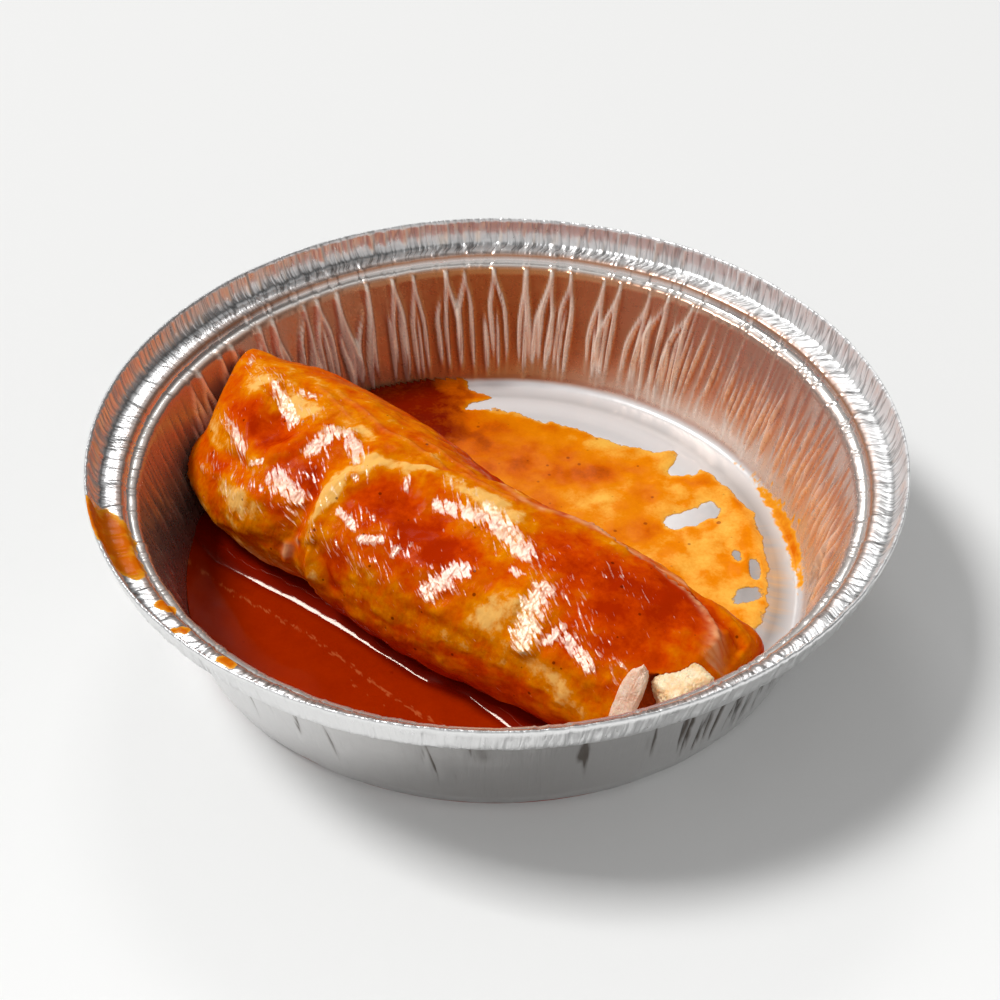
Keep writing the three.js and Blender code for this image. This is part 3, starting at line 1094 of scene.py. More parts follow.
    def wall_creases(self) -> list[FoilCrease]:
        """Creases of the wall: round tubes at the back, fine ones right, few in front.

        Returns:
            The creases.
        """
        draw = np.random.default_rng(self.seed)
        found = []
        for middle in self.group_angles():
            if not math.radians(48) < middle < math.radians(164):
                continue
            sway = draw.normal(0, 0.7)
            crowded = float(ease(np.degrees(middle), 98, 118))
            slant = 2.4 * (1 - float(ease(np.degrees(middle), 60, 84)))
            for side in (-1, 1, 0, 2):
                branch = side in (-1, 1)
                if not branch and draw.random() < (0.4 if side == 0 else 0.2) * (1 - crowded):
                    continue
                lean = side * 1.68 * draw.uniform(0.75, 1.2) + draw.normal(0, 0.25) + slant
                high = draw.uniform(1.15, 1.35) if branch else draw.uniform(0.72, 0.95)
                low = draw.uniform(-0.12, 0.08)
                width = draw.uniform(0.48, 0.68) * (0.8 if side == 0 else 1.0) + 0.08 * crowded
                tall = draw.uniform(1.3, 1.75)
                phase = draw.uniform(0, 1.6)
                join = draw.uniform(0.36, 0.72)
                found.append(FoilCrease(middle, lean, sway, phase, low, high, width, tall, join=join))
        for i in range(self.fine_creases):
            middle = math.radians(-62 + (i + draw.uniform(-0.45, 0.45)) * 122 / self.fine_creases)
            tall = draw.uniform(0.55, 1.35)
            lean = draw.normal(3.4, 1.3) if middle > 0.1 else draw.normal(1.2, 1.2)
            found.append(
                FoilCrease(
                    middle,
                    lean,
                    draw.normal(0, 0.4),
                    draw.uniform(0, FULL_TURN),
                    draw.uniform(-0.1, 0.25),
                    draw.uniform(0.7, 1.3),
                    draw.uniform(0.24, 0.46),
                    tall,
                    bool(draw.random() < 0.3),
                )
            )
        for i in range(64):
            middle = math.radians(160 + (i + draw.uniform(-0.45, 0.45)) * 140 / 64)
            sharp = bool(draw.random() < 0.3)
            width = draw.uniform(0.25, 0.4) if sharp else draw.uniform(0.9, 2.2)
            tall = draw.uniform(0.2, 0.45) if sharp else draw.uniform(0.1, 0.3)
            high = draw.uniform(0.7, 1.1)
            low = high - draw.uniform(0.35, 0.7)
            found.append(FoilCrease(middle, draw.normal(0, 3.0), 0.3, 0.0, low, high, width, tall, sharp))
        for i in range(20):
            middle = math.radians(158 + (i + draw.uniform(-0.4, 0.4)) * 2.4)
            tall = draw.uniform(0.35, 0.7)
            found.append(FoilCrease(middle, draw.normal(-1.5, 1.2), 0.5, 0.0, -0.1, 1.2, 0.28, tall, True))
        for degrees in self.outer_creases:
            tall = draw.uniform(0.5, 0.7)
            lean = draw.uniform(-3, 3)
            found.append(FoilCrease(math.radians(degrees), lean, 0.5, 0.0, 0.05, 1.1, 0.3, tall, True))
        return found

    def group_angles(self) -> np.ndarray:
        """Angles of the groups of creases that cross the ledges and run on down the wall."""
        draw = np.random.default_rng(self.seed + 4)
        places = np.arange(self.rim_groups) + draw.uniform(-0.25, 0.25, self.rim_groups)
        return places * FULL_TURN / self.rim_groups

    def rim_creases(self) -> list[FoilCrease]:
        """Small groups of creases that cross both ledges.

        Returns:
            The creases.
        """
        draw = np.random.default_rng(self.seed + 3)
        found = []
        for middle in self.group_angles():
            lean = draw.normal(0, 1.2)
            for k in range(int(draw.integers(2, 5))):
                spread = (k * draw.uniform(0.9, 1.3) - 1.5) / 88
                tall = draw.uniform(0.16, 0.4)
                sharp = bool(draw.random() < 0.5)
                tall = -tall if sharp else tall
                crease = FoilCrease(middle + spread, lean, 0, 0, -1, 2, draw.uniform(0.25, 0.42), tall, sharp)
                found.append(crease)
        return found

    def pleat_creases(self) -> list[FoilCrease]:
        """Sharp pleats of the flange.

        Returns:
            The pleats.
        """
        draw = np.random.default_rng(self.seed + 1)
        found = []
        for i in range(self.pleats):
            middle = (i + draw.uniform(-0.5, 0.5)) * FULL_TURN / self.pleats
            low = draw.uniform(0.5, 0.8)
            high = draw.uniform(0.96, 1.2)
            lean = draw.normal(-0.8, 1.6)
            width = draw.uniform(0.3, 0.62)
            tall = draw.uniform(0.16, 0.6)
            sharp = bool(draw.random() < 0.6)
            found.append(FoilCrease(middle, lean, 0.3, 0.0, low, high, width, tall, sharp))
        return found

    def skin(self, profile: np.ndarray) -> tuple[np.ndarray, np.ndarray]:
        """Wrinkled points of one face.

        Args:
            profile: rows of the face, with their shares of each kind of crease.

        Returns:
            Points and the height of the creases at each, rows by columns.
        """
        turns = np.arange(self.around) * FULL_TURN / self.around
        angle = np.broadcast_to(turns, (len(profile), self.around)).copy()
        radius = np.repeat(profile[:, :1], self.around, axis=1)
        height = np.repeat(profile[:, 1:2], self.around, axis=1)
        wall_share = (height - self.wall_foot[1]) / (self.wall_top[1] - self.wall_foot[1])
        rim_share = (radius - self.wall_top[0]) / (self.rim_radius - self.wall_top[0])
        tubes, groups, pleats = (np.zeros_like(angle) for _ in range(3))
        for crease in self.wall_creases():
            crease.press(tubes, angle, wall_share, 78)
        for crease in self.rim_creases():
            crease.press(groups, angle, rim_share, 87)
        for crease in self.pleat_creases():
            crease.press(pleats, angle, rim_share, 91)
        soft = Unevenness(self.seed + 2)
        places = np.stack([np.cos(angle) * 5.5, np.sin(angle) * 5.5, height / 30], -1)
        sway = soft.layered(places.reshape(-1, 3), 3).reshape(angle.shape)
        flat = np.abs(np.gradient(profile[:, 0])) > np.abs(np.gradient(profile[:, 1]))
        level = flat[:, None].astype(float)
        push = tubes * profile[:, 2:3] + groups * profile[:, 3:4] + pleats * profile[:, 4:5]
        radius = radius - push * (1 - level) + 0.22 * sway * profile[:, 2:3]
        height = height + push * 0.7 * level + 0.12 * sway * (1 - profile[:, 2:3])
        height = np.minimum(height, self.height)
        radius = np.minimum(radius, self.rim_radius - 0.17)
        points = np.stack([radius * np.cos(angle), radius * np.sin(angle), height], -1)
        return points, push

    def floor_rows(self, under: bool) -> list[tuple[float, float]]:
        """Radius and height of the rings of the floor, middle left out.

        Args:
            under: whether the lower face is meant.

        Returns:
            Rings from the middle outwards.
        """
        radii = [8, 16, 24, 32, 40, 48, 54, 56, 57, 58, 58.8, 60, 62, 63.4, 64.4, 65.5]
        radii += [66.6, 67.4, 68.2, 70, 72, 72.9, 73.6]
        if under:
            radii = [8, 24, 40, 54, 57, 59, 62, 64, 66, 67.5, 70, 73]
        drop = self.sheet if under else 0
        return [(r, float(self.floor_height(np.array(r))) - drop) for r in radii]

    def build(self) -> bpy.types.Object:
        """Makes the pan's mesh.

        Returns:
            The pan.
        """
        inner, inner_creases = self.skin(self.inner_profile())
        outer, outer_creases = self.skin(self.outer_profile())
        wall = np.concatenate([inner, outer])
        faces = [grid_faces(len(wall), self.around, True)]
        points = [wall.reshape(-1, 3)]
        first_inner = 0
        first_outer = (len(wall) - 1) * self.around
        for under, joined in ((False, first_inner), (True, first_outer)):
            start = sum(len(block) for block in points)
            block, quads, triangles = self.floor_side(under, joined, start)
            points.append(block)
            faces.extend([quads, triangles])
        everything = [face for block in faces for face in block.tolist()]
        made = make_object("crimped_pan", np.concatenate(points), everything)
        creases = np.zeros(sum(len(block) for block in points))
        creases[: wall[..., 0].size] = np.concatenate([inner_creases, outer_creases]).ravel()
        self.paint_layers(made, np.concatenate(points), creases)
        made.data.materials.append(FoilFinish().build())
        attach(made, "root")
        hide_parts("foil_pan")
        return made

    def floor_side(self, under: bool, joined: int, start: int) -> tuple[np.ndarray, np.ndarray, np.ndarray]:
        """Points and faces of one side of the floor, joined on to the wall.

        Args:
            under: whether the lower face is meant.
            joined: index of the first point of the wall's ring that it joins.
            start: index of its own first point.

        Returns:
            Points, four-sided faces and three-sided faces.
        """
        rows = self.floor_rows(under)
        turns = np.arange(self.floor_around) * FULL_TURN / self.floor_around
        rings = [
            np.stack([r * np.cos(turns), r * np.sin(turns), np.full_like(turns, z)], -1) for r, z in rows
        ]
        middle_height = self.floor_face[0][1] - (self.sheet if under else 0)
        points = np.concatenate([*rings, [[0, 0, middle_height]]])
        quads = grid_faces(len(rings), self.floor_around, True, start)
        hub = start + len(points) - 1
        spokes = np.arange(self.floor_around)
        after = (spokes + 1) % self.floor_around
        fan = np.stack([np.full_like(spokes, hub), start + spokes, start + after], -1)
        outermost = start + (len(rings) - 1) * self.floor_around
        fine = self.around // self.floor_around
        bridge = []
        for i in range(self.floor_around):
            coarse, next_coarse = outermost + i, outermost + (i + 1) % self.floor_around
            ring = [joined + (i * fine + k) % self.around for k in range(fine + 1)]
            half = fine // 2
            bridge += [[coarse, ring[k], ring[k + 1]] for k in range(half)]
            bridge.append([coarse, ring[half], next_coarse])
            bridge += [[next_coarse, ring[k], ring[k + 1]] for k in range(half, fine)]
        triangles = np.concatenate([fan, np.array(bridge)])
        if under:
            return points, quads, triangles[:, ::-1]
        return points, quads[:, ::-1], triangles

    def spill(self, angle: np.ndarray, radius: np.ndarray, height: np.ndarray) -> np.ndarray:
        """Where sauce has dripped on the rim, and the film in the corner of wall and floor.

        Args:
            angle: angle of each point.
            radius: distance of each point from the middle.
            height: height of each point.

        Returns:
            Strength from 0 to 1.
        """
        degrees = np.degrees(angle) % 360
        found = np.zeros(len(angle))
        for middle, wide, middle_radius, deep in self.spills:
            spot = np.hypot((degrees - middle) / wide, (radius - middle_radius) / deep)
            found = np.maximum(found, 1 - ease(spot, 0.5, 1.3))
        window = bell((np.degrees(angle) - 8) / 22)
        corner = bell((radius - 73.2) / 1.9) * (1 - ease(height, 2.6, 5.0))
        drops = Unevenness(self.seed + 5).at(np.stack([degrees / 1.2, height / 4, height * 0], -1))
        ragged = (1 - ease(height, 3.0, 9.0)) * ease(radius, 74.2, 74.8) * (0.5 + 1.4 * drops)
        return np.maximum(found, window * np.clip(np.maximum(0.85 * corner, 0.7 * ragged), 0, 1))

    def paint_layers(self, made: bpy.types.Object, points: np.ndarray, creases: np.ndarray) -> None:
        """Writes the numbers that the foil's material reads.

        Args:
            made: the pan.
            points: its points.
            creases: height of the creases at each point.
        """
        radius = np.hypot(points[:, 0], points[:, 1])
        angle = np.arctan2(points[:, 1], points[:, 0])
        run = np.where(radius > 73, points[:, 2], 0) + radius * 0.4
        on_ledge = bell((radius - 87.2) / 2.4)
        angle = angle + 0.009 * (radius - 87.2) * on_ledge
        around = np.stack([np.cos(angle) * 85, np.sin(angle) * 85, run * 0.12], -1) * MM
        paint(made, "around", around)
        share = (points[:, 2] - self.wall_foot[1]) / (self.wall_top[1] - self.wall_foot[1])
        inner = np.arange(len(points)) < len(self.inner_profile()) * self.around
        outer = ~inner & (points[:, 2] > 2.2) & (radius > 74.6)
        rim = ease(radius, *self.rim_edge)
        on_wall = ease(points[:, 2], *self.wall_start) * (1 - ease(radius, *self.wall_stop))
        flange = ease(radius, *self.flange_edge)
        spilt = self.spill(angle, radius, points[:, 2]) * (inner | (radius < 74.7))
        paint(made, "spill", spilt)
        streaks = 0.45 * rim + 0.75 * flange + (0.12 + 0.3 * outer) * on_wall
        paint(made, "streaks", streaks * (1 - 0.85 * spilt))
        on_floor = 1 - ease(radius, *self.floor_edge)
        glitter = rim * (1 - flange) * bell((angle - 0.5) / 1.2)
        dull = 0.2 + 0.08 * on_wall * inner + 0.16 * on_wall * outer + 0.14 * on_floor
        dull = dull + 0.1 * flange + 0.1 * rim * (1 - flange) + 0.14 * glitter
        paint(made, "dull", dull)
        right = bell((angle - 0.05) / 0.5) * (1 - ease(share, 0.15, 0.7)) * ease(radius, 72, 75)
        ring = 0.7 * bell((angle + 0.1) / 0.42) * bell((radius - 67) / 6) * on_floor
        paint(made, "haze", np.maximum(right * 0.8, ring))
        ledge = rim * (1 - flange) * inner
        # Painted highlight: pale tops of the wall's creases, a painted glow low on the right back wall where
        # it would mirror the bright floor, pale pleats on the flange and a pale lower bead.
        crest = ease(creases, 0.3, 1.0) * inner * ease(radius, 74.0, 75.0)
        glow = 0.6 * bell((angle - 0.72) / 0.42) * (1 - ease(share, 0.0, 0.42))
        crest = np.maximum(crest, glow * inner * (0.55 + 0.6 * ease(creases, -0.1, 0.3)))
        pleats = ease(creases, 0.12, 0.5) * inner * flange
        right_flange = bell((angle - 0.35) / 1.1) * flange * inner
        bead = inner * bell((points[:, 2] - 34.2) / 0.8) * bell((radius - 83.5) / 1.2)
        shiny = 0.95 * crest * on_wall + 0.9 * pleats * (1 - right_flange)
        paint(made, "crest", np.maximum(shiny, 0.3 * bead))
        # Painted shade: dark lines in the fine folds of the ledges and the flange.
        paint(made, "combed", inner * (0.75 * ledge + 0.25 * flange) + 0.3 * right_flange)
        # Painted reflection of the sauce: copper on the inner wall, most at the back, and on the riser under
        # the upper ledge.
        behind = bell((angle - 1.6) / 1.1)
        riser = inner * bell((points[:, 2] - 35.9) / 0.75) * bell((radius - 84.8) / 1.3)
        warm = on_wall * inner * (0.35 + 0.65 * behind) * (1 - crest)
        paint(made, "warm", np.maximum(warm, 0.9 * riser))
        bright = 1 - inner * on_wall * (0.2 + 0.35 * behind + 0.3 * crest) - 0.88 * on_floor
        bright = bright - 0.3 * flange * inner - 0.5 * right_flange
        bright = bright - 0.5 * riser - 0.4 * bead
        paint(made, "metal", np.clip(bright, 0, 1))
        # Painted shade: a darker grey patch of floor at the right, standing in for its dimmer reflection
        # there.
        dimmed_floor_reflection = bell(np.hypot((points[:, 0] - 60) / 14, (points[:, 1] + 6) / 32)) * on_floor
        # Painted shade on the front of the outer wall, which mirrors the shaded floor beneath it.
        front = bell((np.degrees(angle) + 90) / 36) * ~inner * ease(points[:, 2], 1.0, 4.0)
        front = front * (1 - ease(points[:, 2], 33.0, 36.5))
        # Painted shade on the inner wall at the left, where the pan lies in deep shade.
        left = bell((np.abs(angle) - math.pi) / 0.9) * on_wall * inner
        # Painted shade along the creases of the outer wall, below the rim.
        crease_shade = ease(creases, 0.2, 0.5) * outer * (points[:, 2] < 33)
        bands = (0.3 * bell((radius - 68.4) / 1.9) + 0.2 * bell((radius - 57.6) / 2.2)) * on_floor
        paint(made, "stain_and_shade", 0.7 * dimmed_floor_reflection + 0.5 * front * (radius > 73) + 0.45 * left + 0.9 * crease_shade + bands)


# Roll


@dataclass(frozen=True)
class Ridge:
    """Straight fold or line on the roll's skin.

    Attributes:
        start: X and degrees where it starts.
        end: X and degrees where it ends.
        width: half width in millimetres.
        height: rise in millimetres, or strength where it paints.
    """

    start: tuple[float, float]
    end: tuple[float, float]
    width: float
    height: float


@dataclass(frozen=True)
class Patch:
    """Round spot on the roll's skin.

    Attributes:
        at: X and degrees of its middle.
        size: half sizes along and around, in millimetres.
        height: rise in millimetres, or strength where it paints.
    """

    at: tuple[float, float]
    size: tuple[float, float]
    height: float


@dataclass
class RollForm:
    """Form of the filled roll: its section along its length, its folds and its lean on the wall.

    Attributes:
        turn: angle of the roll in the pan, in degrees.
        stations: X, half width, half height and offset across the pan.
        left_end: X of the left end.
        right_end: X of the right end.
        rest: lowest height of the skin over the floor.
        settle: how far the roll sinks flat on the floor.
        left_slant: slant of the left end across the pan.
        left_reach: X between which the slant and the toe fade out.
        left_toe: how far the lowest tip of the left end reaches out.
        left_toe_at: degrees round of that tip.
        left_toe_spread: reach of the tip in degrees.
        left_squareness: 2 for a round left end, more for a blunt one.
        right_squareness: the same at the right end.
        wall_gap: least gap to the wall of the pan.
        degree: millimetres of skin in a degree.
        folds: long folds and grooves of the skin.
        dents: broad dents and swells of the skin.
    """

    turn: float = -40.0
    left_end: float = -76.0
    right_end: float = 74.4
    rest: float = 2.15
    settle: float = 1.2
    left_slant: float = -0.55
    left_reach: tuple = (-75.0, -20.0)
    left_toe: float = 13.0
    left_toe_at: float = 192.0
    left_toe_spread: float = 36.0
    left_squareness: float = 5.0
    right_squareness: float = 11.0
    wall_gap: float = 1.0
    degree: float = 0.41
    stations: tuple = (
        (-82, 22, 16.5, -16),
        (-65, 24.5, 17.8, -18.1),
        (-45, 27, 19, -19.8),
        (-20, 25.2, 18.8, -19.8),
        (10, 23.2, 18.2, -22.2),
        (40, 21.8, 17.2, -18.8),
        (60, 21, 15.5, -16.4),
        (78, 19.5, 13.6, -12.5),
    )
    folds: tuple = (
        Ridge((-18, 96), (-18, 176), 4.2, 1.5),
        Ridge((-14, 84), (20, 82), 4.5, 0.9),
        Ridge((-8, 131), (57, 127), 5, 0.8),
        Ridge((-41, 120), (-33, 97), 3, 1.2),
        Ridge((-58, 84), (-57, 112), 5, 1.4),
        Ridge((-30, 70), (60, 52), 5, 0.5),
    )
    dents: tuple = (
        Patch((-45, 105), (7.5, 6.5), -3.2),
        Patch((6, 111), (20, 6), -1.9),
        Patch((-24, 150), (3.2, 15), -2.4),
        Patch((-52, 139), (7, 2.4), -2.6),
        Patch((-38, 157), (11, 8), 1.6),
        Patch((35, 124), (7, 6), 0.9),
        Patch((66, 92), (10, 8), -1.2),
        Patch((-71, 60), (7, 7), 3.6),
    )

    def measure(self, column: int, x: np.ndarray) -> np.ndarray:
        """One measure of the section, on a smooth curve through the stations.

        Args:
            column: 1 half width, 2 half height, 3 offset.
            x: places along the roll.

        Returns:
            The measure at each place.
        """
        table = np.array(self.stations, float)
        places, values = table[:, 0], table[:, column]
        first = np.clip(np.searchsorted(places, x, side="right") - 1, 0, len(places) - 2)
        near = [np.clip(first + k, 0, len(places) - 1) for k in (-1, 0, 1, 2)]
        xs = [places[i] for i in near]
        vs = [values[i] for i in near]
        span = xs[2] - xs[1]
        t = np.clip((x - xs[1]) / span, 0, 1)
        slope_in = span * (vs[2] - vs[0]) / (xs[2] - xs[0])
        slope_out = span * (vs[3] - vs[1]) / (xs[3] - xs[1])
        rise = vs[2] - vs[1]
        square = 3 * rise - 2 * slope_in - slope_out
        cube = slope_in + slope_out - 2 * rise
        return vs[1] + t * (slope_in + t * (square + t * cube))

    def away(self, fold: Ridge, x: np.ndarray, degrees: np.ndarray) -> np.ndarray:
        """Distance from a fold over the skin.

        Args:
            fold: the fold.
            x: places along the roll.
            degrees: angles round it.

        Returns:
            Millimetres from it.
        """
        start = np.array([fold.start[0], fold.start[1] * self.degree])
        end = np.array([fold.end[0], fold.end[1] * self.degree])
        way = end - start
        place = np.stack([x, degrees * self.degree], -1)
        share = np.clip((place - start) @ way / (way @ way), 0, 1)
        return np.linalg.norm(place - start - share[..., None] * way, axis=-1)

    def ridge(self, fold: Ridge, x: np.ndarray, degrees: np.ndarray) -> np.ndarray:
        """Strength of a fold over the skin."""
        return fold.height * bell(self.away(fold, x, degrees) / fold.width)

    def patch(self, spot: Patch, x: np.ndarray, degrees: np.ndarray) -> np.ndarray:
        """Strength of a spot over the skin.

        Args:
            spot: the spot.
            x: places along the roll.
            degrees: angles round it.

        Returns:
            Its height at each place.
        """
        along = (x - spot.at[0]) / spot.size[0]
        around = (degrees - spot.at[1]) * self.degree / spot.size[1]
        return spot.height * np.exp(-(along**2) - around**2)

    def lay(
        self, closing: np.ndarray, x: np.ndarray, degrees: np.ndarray, rise: np.ndarray, pan: FoilPan
    ) -> np.ndarray:
        """Places points of the skin in the pan.

        Args:
            closing: 1 along the body, down to 0 at an end's middle.
            x: places along the roll.
            degrees: angles round it.
            rise: height over the plain form, less any inset.
            pan: the pan that the roll lies in.

        Returns:
            Points, with a last axis of 3.
        """
        angle = np.radians(degrees)
        wide = (self.measure(1, x) + rise) * closing
        high = (self.measure(2, x) + rise) * closing
        middle = self.rest - self.settle + self.measure(2, x)
        across = wide * np.cos(angle)
        height = np.maximum(middle + high * np.sin(angle), self.rest + np.maximum(-rise, 0))
        around_toe = (degrees - self.left_toe_at) / self.left_toe_spread
        toe = self.left_toe * bell(around_toe) * closing
        near_left = 1 - ease(x, *self.left_reach)
        along = x + (self.left_slant * across - toe) * near_left
        sideways = self.measure(3, x) + across
        turn = math.radians(self.turn)
        east = along * math.cos(turn) - sideways * math.sin(turn)
        north = along * math.sin(turn) + sideways * math.cos(turn)
        radius = np.hypot(east, north)
        limit = pan.wall_radius(height) - self.wall_gap
        pull = np.where(radius > limit, limit / np.maximum(radius, 1e-6), 1)
        return np.stack([east * pull, north * pull, height], -1)

    def into_pan(self, points: np.ndarray) -> np.ndarray:
        """Turns points from the roll's frame into the pan's."""
        turn = math.radians(self.turn)
        east = points[..., 0] * math.cos(turn) - points[..., 1] * math.sin(turn)
        north = points[..., 0] * math.sin(turn) + points[..., 1] * math.cos(turn)
        return np.stack([east, north, points[..., 2]], -1)


@dataclass
class Wrap:
    """Rolled tortilla with its flap, folds, torn mouth and coat of sauce.

    Attributes:
        form: form of the roll.
        pan: the pan that it lies in.
        flap_thick: thickness of the lapped sheet.
        flap_left: X where the lapped sheet begins.
        flap_right: X where it ends.
        lip: degrees round and X of the edge that crosses the roll.
        lengthwise: rings along the roll.
        front_steps: points round the side that the photo shows.
        back_steps: points round the other side.
        facet_lean: degrees round that the lit facets face.
        facet_turn: how much they turn along the roll, in degrees a millimetre.
        facet_press: how much they flatten the skin.
        shoulder_lines: folds and grooves on top and along the back.
        scraps: small torn scraps at the edge.
        torn_edges: pale torn edges.
        facets: lit facets in the sauce.
        sprinkles: lines along which small glints lie.
        lap_lines: lines along the lapped edge.
        sauce_patches: patches where the sauce is thicker, or thinner below 0; the two under the flap's back
            edge near X 10 are painted shadow.
        sauce_lines: lines where it is thicker, or thinner below 0; the three along the lapped edge at the
            back and the one beside the lip's lower end are painted shade.
    """

    form: RollForm
    pan: FoilPan
    flap_thick: float = 1.6
    flap_left: float = -21.0
    flap_right: float = 71.0
    lip: tuple = (
        (50, 12.0),
        (62, 6.0),
        (74, 0.0),
        (87, -7.2),
        (92, -12.3),
        (101, -15.8),
        (114, -18.4),
        (124, -21.4),
        (137, -19.9),
        (156, -18.3),
        (180, -17.5),
    )
    lengthwise: int = 330
    front_steps: int = 172
    back_steps: int = 76
    facet_lean: float = 118.0
    facet_turn: float = -0.07
    facet_press: float = 0.5
    shoulder_lines: tuple = (
        Ridge((-12, 146), (20, 150), 2.6, 0.6),
        Ridge((20, 150), (58, 146), 2.6, 0.6),
        Ridge((-62, 152), (-30, 146), 2.4, 0.7),
        Ridge((-66, 97), (-40, 97), 1.7, 0.7),
        Ridge((-36, 118), (-24, 96), 1.6, 0.5),
        Ridge((-15, 158), (-9, 176), 2.4, -1.1),
        Ridge((71.6, 64), (73.6, 101), 1.5, -1.8),
        Ridge((52, 40), (70, 58), 1.2, 0.5),
        Ridge((-24.8, 171), (-25.2, 185), 1.2, 1.2),
        Ridge((-5, 31), (3, 39), 1.1, -0.7),
        Ridge((3, 39), (12, 53), 1.1, -0.8),
        Ridge((12, 53), (24, 57), 1.0, -0.7),
        Ridge((-22.4, 164), (-21.2, 160), 1.0, 0.8),
    )
    scraps: tuple = (
        Ridge((-24.8, 173), (-25.0, 179), 1.0, 1.5),
        Ridge((-22.6, 166), (-22.0, 163), 0.8, 1.4),
    )
    torn_edges: tuple = (
        Ridge((0, 45), (10, 60), 0.7, 0.35),
        Ridge((10, 60), (17.4, 66.5), 0.8, 0.5),
        Ridge((17.4, 66.5), (22.2, 65), 0.9, 0.6),
        Ridge((22.2, 65), (28, 60), 0.8, 0.7),
        Ridge((28, 60), (36, 57), 0.9, 0.9),
        Ridge((36, 57), (58, 55), 1.0, 0.9),
    )
    facets: tuple = (
        Ridge((37.4, 117), (39.6, 147), 2.8, 1.0),
        Ridge((15.0, 88), (29.0, 101), 2.5, 1.0),
        Ridge((20.0, 124), (16.0, 142), 2.5, 1.0),
        Ridge((-27.0, 138), (-36.0, 133), 2.6, 1.0),
        Ridge((14.0, 93), (4.5, 98), 1.6, 1.0),
        Ridge((-30.3, 95), (-31.3, 111), 2.1, 1.0),
        Ridge((-54.0, 86), (-43.5, 98), 1.9, 1.0),
        Ridge((47.0, 133), (53.5, 140), 1.7, 1.0),
        Ridge((-27.5, 91), (-19.5, 103), 1.8, 1.0),
        Ridge((45.2, 129), (43.7, 140), 1.2, 1.0),
        Ridge((-60.5, 124), (-52.5, 130), 1.6, 1.0),
        Ridge((-7.4, 134), (-13.2, 132), 1.1, 1.0),
        Ridge((0.5, 131), (-4.4, 138), 1.1, 1.0),
        Ridge((-42.0, 78), (-47.5, 80), 1.1, 0.8),
        Ridge((-61.6, 84), (-62.0, 96), 1.3, 0.8),
        Ridge((-62.0, 118), (-66.5, 126), 0.9, 0.8),
        Ridge((-43.0, 129), (-46.8, 134), 0.8, 1.0),
        Ridge((4.6, 131), (4.6, 135), 0.9, 1.0),
        Ridge((-5.7, 96), (-4.7, 101), 0.9, 1.0),
        Ridge((-61.0, 153), (-64.0, 161), 1.2, 0.9),
        Ridge((-67.6, 68), (-66.4, 76), 1.5, 0.7),
        Ridge((29.0, 112), (30.5, 114), 1.0, 0.8),
        Ridge((-52.0, 152), (-48.0, 158), 0.9, 0.6),
    )
    sprinkles: tuple = (
        Ridge((-20, 150), (5, 147), 3.4, 0.36),
        Ridge((-66, 120), (-46, 148), 4.0, 0.36),
        Ridge((5, 84), (34, 104), 4.2, 0.38),
        Ridge((40, 112), (58, 137), 4.4, 0.36),
        Ridge((-42, 140), (-25, 150), 3.2, 0.36),
        Ridge((-62, 80), (-38, 94), 4.2, 0.38),
        Ridge((-8, 128), (20, 134), 3.2, 0.34),
        Ridge((-64, 150), (-40, 160), 3.0, 0.34),
        Ridge((-30, 100), (-26, 130), 4.0, 0.36),
        Ridge((44, 84), (54, 90), 3.0, 0.3),
        Ridge((-14, 104), (-18, 130), 2.2, 0.38),
    )
    lap_lines: tuple = (
        Ridge((-40, 66), (-22, 77), 0.6, 0.35),
        Ridge((-22, 77), (-8, 74), 0.55, 0.4),
        Ridge((-8, 74), (17, 71), 0.55, 0.4),
        Ridge((-45, 70), (-30, 82), 0.5, 0.25),
        Ridge((-15, 66), (4, 61), 0.5, 0.35),
        Ridge((22, 60), (46, 52), 0.6, 0.3),
    )
    sauce_patches: tuple = (
        Patch((-51, 112), (13, 4.6), 0.5),
        Patch((-30, 125), (10, 3.6), 0.35),
        Patch((-29, 108), (6, 5), 0.15),
        Patch((2, 117), (17, 6.2), 0.55),
        Patch((17, 120), (8, 6), 0.25),
        Patch((4, 141), (18, 3), 0.22),
        Patch((48, 92), (20, 8.2), 0.42),
        Patch((58, 74), (14, 8), 0.3),
        Patch((55, 118), (12, 6), 0.32),
        Patch((50, 132), (9, 4), 0.2),
        Patch((-8, 161), (3, 6), 0.4),
        Patch((-62, 148), (9, 2.6), 0.25),
        Patch((-36, 148), (10, 2.2), 0.2),
        Patch((22, 174), (30, 1.6), 0.2),
        Patch((38, 178), (14, 3), 0.15),
        Patch((30, 82), (4, 3), 0.3),
        # Painted shadow under the flap's back edge: more sauce, so darker.
        Patch((10, 46), (10, 3), 0.4),
        Patch((-68, 132), (7, 6), -0.26),
        Patch((-44, 89), (8, 3.6), -0.5),
        Patch((-60, 88), (5, 4), -0.45),
        Patch((-27, 86), (7, 2.6), -0.35),
        Patch((-45, 70), (26, 4), -0.12),
        Patch((-5, 70), (16, 3), -0.06),
        Patch((33, 138), (7.5, 6.2), -0.3),
        Patch((22, 106), (6, 2.4), -0.2),
        Patch((-45, 156), (12, 3), -0.4),
        Patch((-38, 168), (12, 3), -0.1),
        Patch((22, 165), (12, 3), -0.16),
        Patch((52, 170), (7, 5), -0.3),
        Patch((46, 156), (8, 3), -0.25),
        Patch((0, 168), (9, 2.6), -0.12),
        Patch((40, 66), (6, 3), -0.2),
        Patch((12, 57), (11, 1.6), -0.36),
        # Painted shadow under the flap's back edge: more sauce, so darker.
        Patch((9, 44), (14, 3.5), 0.5),
        Patch((62, 66), (7, 4), 0.22),
        Patch((43, 60), (8, 3), 0.15),
        Patch((20, 84), (10, 2.4), -0.3),
    )
